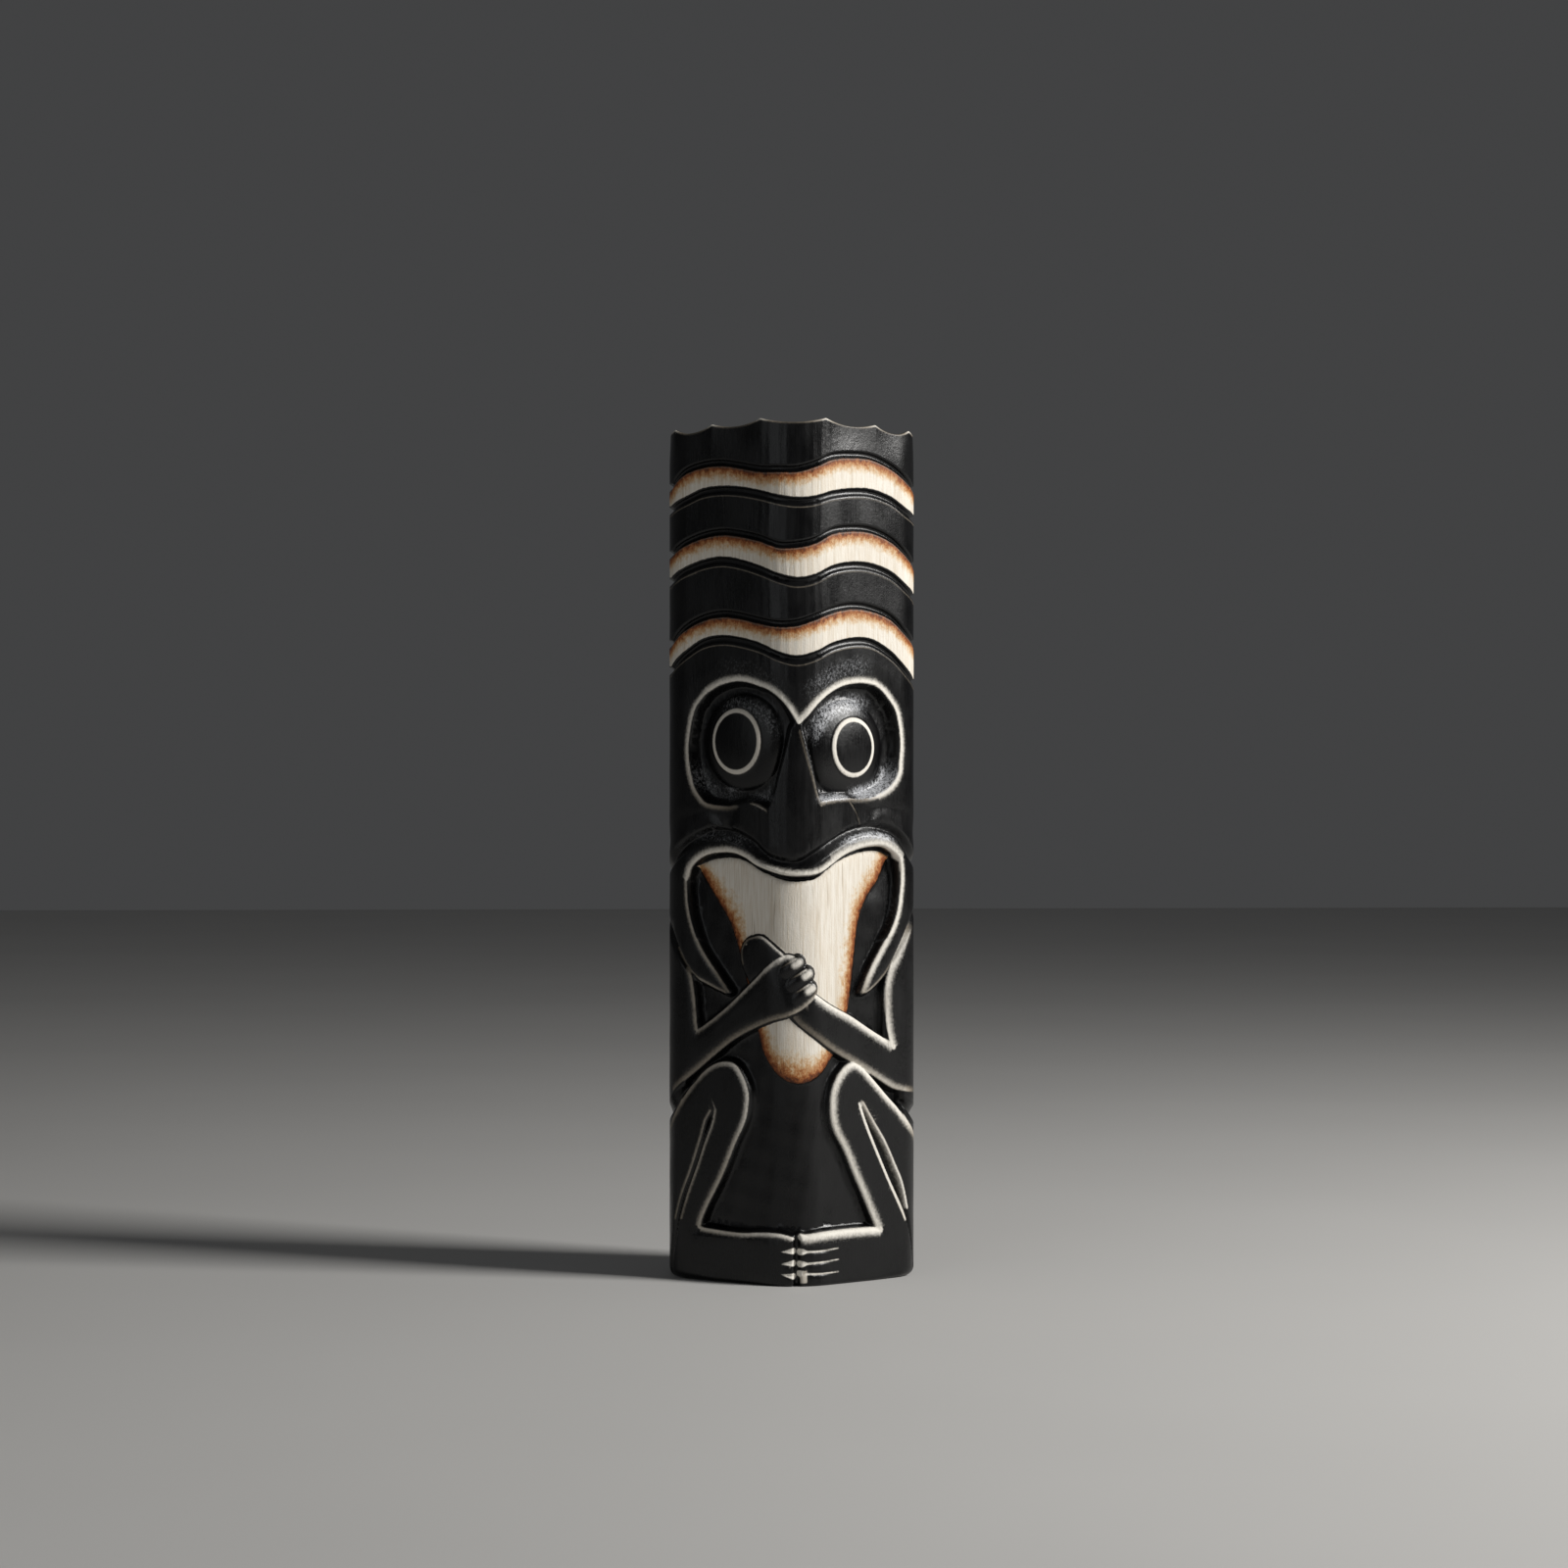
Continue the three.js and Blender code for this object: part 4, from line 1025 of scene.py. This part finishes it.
def gouged(x, y):
    """How deep the short scooped strokes across the hollow of the top are."""
    column = x / GOUGE_WIDTH + 0.25 * math.sin(y / 9)
    along = (y / GOUGE_LENGTH + STAGGER * math.floor(column)) % 1
    return GOUGE_DEPTH * math.sin(math.pi * (column % 1)) * math.sin(math.pi * along) ** 0.5


def next_ring(bm, edges):
    """Extrudes an open edge and returns the new edges and vertices."""
    grown = bmesh.ops.extrude_edge_only(bm, edges=edges)["geom"]
    edges = [g for g in grown if isinstance(g, bmesh.types.BMEdge)]
    verts = [g for g in grown if isinstance(g, bmesh.types.BMVert)]
    return edges, verts


def closed_top(bm):
    """The top: the rim rounded over, the scoops running out, and the gouged hollow."""
    around = bm.verts.layers.float["around"]
    level = bm.verts.layers.float["level"]
    edges = [e for e in bm.edges if e.is_boundary and min(v.co.z for v in e.verts) > 0.4]
    for inward, rise, flatten in RIM_RINGS:
        edges, verts = next_ring(bm, edges)
        s = np.array([v[around] for v in verts])
        n = np.array([v[level] for v in verts])
        x, y, nx, ny = skin(s)
        n = n * (1 - flatten) - inward
        z = (rim_edge(s) + rise) * (1 - flatten) + (rim_height(s) - DISH_DEPTH) * flatten
        for v, *place in zip(verts, x + nx * n, y + ny * n - DEPTH / 2, z):
            v.co = Vector(place) * MM
    middle = Vector((0, 0, HEIGHT - RIM_SAG / 2 - DISH_DEPTH - 1)) * MM
    shares = np.linspace(1, 0.04, TOP_RINGS)
    rings = []
    for outer, inner in zip(shares[:-1], shares[1:]):
        edges, verts = next_ring(bm, edges)
        for v in verts:
            v.co = middle + (v.co - middle) * (inner / outer)
        rings.append((verts, min(1, 5 * (1 - inner))))
    for verts, depth in rings:
        for v in verts:
            v.co.z -= gouged(v.co.x / MM, v.co.y / MM) * depth * MM
    bmesh.ops.edgeloop_fill(bm, edges=edges)


def thinned(statue):
    """The statue's mesh, thinned where it is plain and no groove or edge of the paint passes."""
    mesh = statue.data
    s, z, _ = laid_flat(mesh)
    rub, _ = rubbed(s, z)
    cream, _ = painted_edges(s, z)
    plain = (np.abs(cream) > PAINT_KEPT) & ((rub < -0.5) | (rub > 0.9))
    for bottom in groove_bottoms(s):
        for lip in (bottom + GROOVE_ABOVE, bottom - GROOVE_BELOW):
            plain &= (np.abs(z - lip) > LIP_KEPT) | (np.abs(s) > GROOVE_END)
    statue.vertex_groups.new(name="plain").add(np.flatnonzero(plain).tolist(), 1.0, "REPLACE")
    thin = statue.modifiers.new("thin", "DECIMATE")
    thin.vertex_group = "plain"
    triangles = sum(len(p.vertices) - 2 for p in mesh.polygons)
    thin.ratio = min(1, TRIANGLE_LIMIT / triangles)
    seen = statue.evaluated_get(bpy.context.evaluated_depsgraph_get())
    result = bpy.data.meshes.new_from_object(seen)
    statue.modifiers.clear()
    statue.vertex_groups.clear()
    return result


def carved_statue():
    """The whole post: the sheet closed along its seam, over its top and under its foot."""
    mesh = post_sheet()
    bm = bmesh.new()
    bm.from_mesh(mesh)
    seam = [v for v in bm.verts if v.is_boundary and abs(v.co.x) < 1e-5]
    bmesh.ops.remove_doubles(bm, verts=seam, dist=2e-6)
    closed_top(bm)
    foot = [e for e in bm.edges if e.is_boundary]
    bmesh.ops.edgeloop_fill(bm, edges=foot)
    bmesh.ops.recalc_face_normals(bm, faces=bm.faces)
    bm.to_mesh(mesh)
    bm.free()
    for layer in ("around", "level"):
        mesh.attributes.remove(mesh.attributes[layer])
    statue = bpy.data.objects.new("carved_statue", mesh)
    bpy.context.scene.collection.objects.link(statue)
    statue.data = thinned(statue)
    statue.data.name = "carved_statue"
    statue.data.shade_smooth()
    return statue


def laid_flat(mesh):
    """Each vertex's place on the skin and its height over it."""
    place = np.empty(len(mesh.vertices) * 3, np.float32)
    mesh.vertices.foreach_get("co", place)
    place = place.reshape(-1, 3) / MM
    place[:, 1] += DEPTH / 2
    stations = np.linspace(-HALF_SKIN, HALF_SKIN, 1600)
    x, y, nx, ny = skin(stations)
    tree = KDTree(len(stations))
    for i in range(len(stations)):
        tree.insert((x[i], y[i], 0), i)
    tree.balance()
    nearest = np.array([tree.find((px, py, 0))[1] for px, py in place[:, :2].tolist()])
    away = place[:, :2] - np.stack([x, y], 1)[nearest]
    s = stations[nearest] - away[:, 0] * ny[nearest] + away[:, 1] * nx[nearest]
    level = away[:, 0] * nx[nearest] + away[:, 1] * ny[nearest]
    return s, place[:, 2], level


def lay_paint(mesh):
    """Keeps each place's distances from the edges of the paint with the mesh."""
    s, z, level = laid_flat(mesh)
    rub, power = rubbed(s, z)
    cream, scorched = painted_edges(s, z)
    # Nothing is rubbed bare on the top, inside the rim
    inward = -level - FLUTE_DEPTH * scoop_share(s)
    rub[(z > HEIGHT - 12) & (inward > 1.5)] = UNTOUCHED
    keep_with(mesh, rubbed=rub, rubbed_power=power, cream=cream, scorched=scorched, dusted=dusted(s, z))


# The camera stands level with the mouth's corner, a little to the figure's right
VIEW_TURN = math.radians(-3)
VIEW_DISTANCE = 2.0515
VIEW_ASIDE = 0.0046
VIEW_PIVOT = Vector((0, -0.001795, 0.2888))
toward = Vector((math.sin(VIEW_TURN), -math.cos(VIEW_TURN), 0))
right = Vector((math.cos(VIEW_TURN), math.sin(VIEW_TURN), 0))

camera_data = bpy.data.cameras.new("camera")
camera_data.lens = 80
camera_data.sensor_width = 36
camera_data.clip_end = 50
camera = bpy.data.objects.new("camera", camera_data)
camera.location = VIEW_PIVOT + toward * VIEW_DISTANCE - right * VIEW_ASIDE
camera.rotation_euler = (-toward).to_track_quat("-Z", "Y").to_euler()
bpy.context.scene.collection.objects.link(camera)
bpy.context.scene.camera = camera

statue = carved_statue()
lay_paint(statue.data)
statue.data.materials.append(painted_resin())
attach(statue, "root")
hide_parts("statue")

# Stage
ground = bmesh.new()
bmesh.ops.create_grid(ground, x_segments=1, y_segments=1, size=6)
floor_mesh = bpy.data.meshes.new("floor")
ground.to_mesh(floor_mesh)
ground.free()
floor = bpy.data.objects.new("floor", floor_mesh)
floor_mesh.materials.append(pale_floor())
bpy.context.scene.collection.objects.link(floor)


def soft_light(name, place, aim, size, watts, tint):
    """A rectangular studio light, turned to a point."""
    data = bpy.data.lights.new(name, "AREA")
    data.shape = "RECTANGLE"
    data.size, data.size_y = size
    data.energy = watts
    data.color = tint
    light = bpy.data.objects.new(name, data)
    light.location = place
    light.rotation_euler = (Vector(aim) - Vector(place)).to_track_quat("-Z", "Y").to_euler()
    bpy.context.scene.collection.objects.link(light)


soft_light("key", (1.85, -0.78, 1.4), (0, 0, 0.27), (0.55, 0.9), 62, (1, 0.985, 0.96))
soft_light("fill", (-1.4, -1.9, 0.9), (0, 0, 0.25), (1.4, 1.4), 3.5, (0.95, 0.98, 1))

world = bpy.data.worlds.new("studio")
world.use_nodes = True
backdrop = world.node_tree.nodes["Background"]
backdrop.inputs["Color"].default_value = (0.9, 0.91, 0.93, 1)
backdrop.inputs["Strength"].default_value = 0.06
bpy.context.scene.world = world
bpy.context.scene.view_settings.view_transform = "Standard"
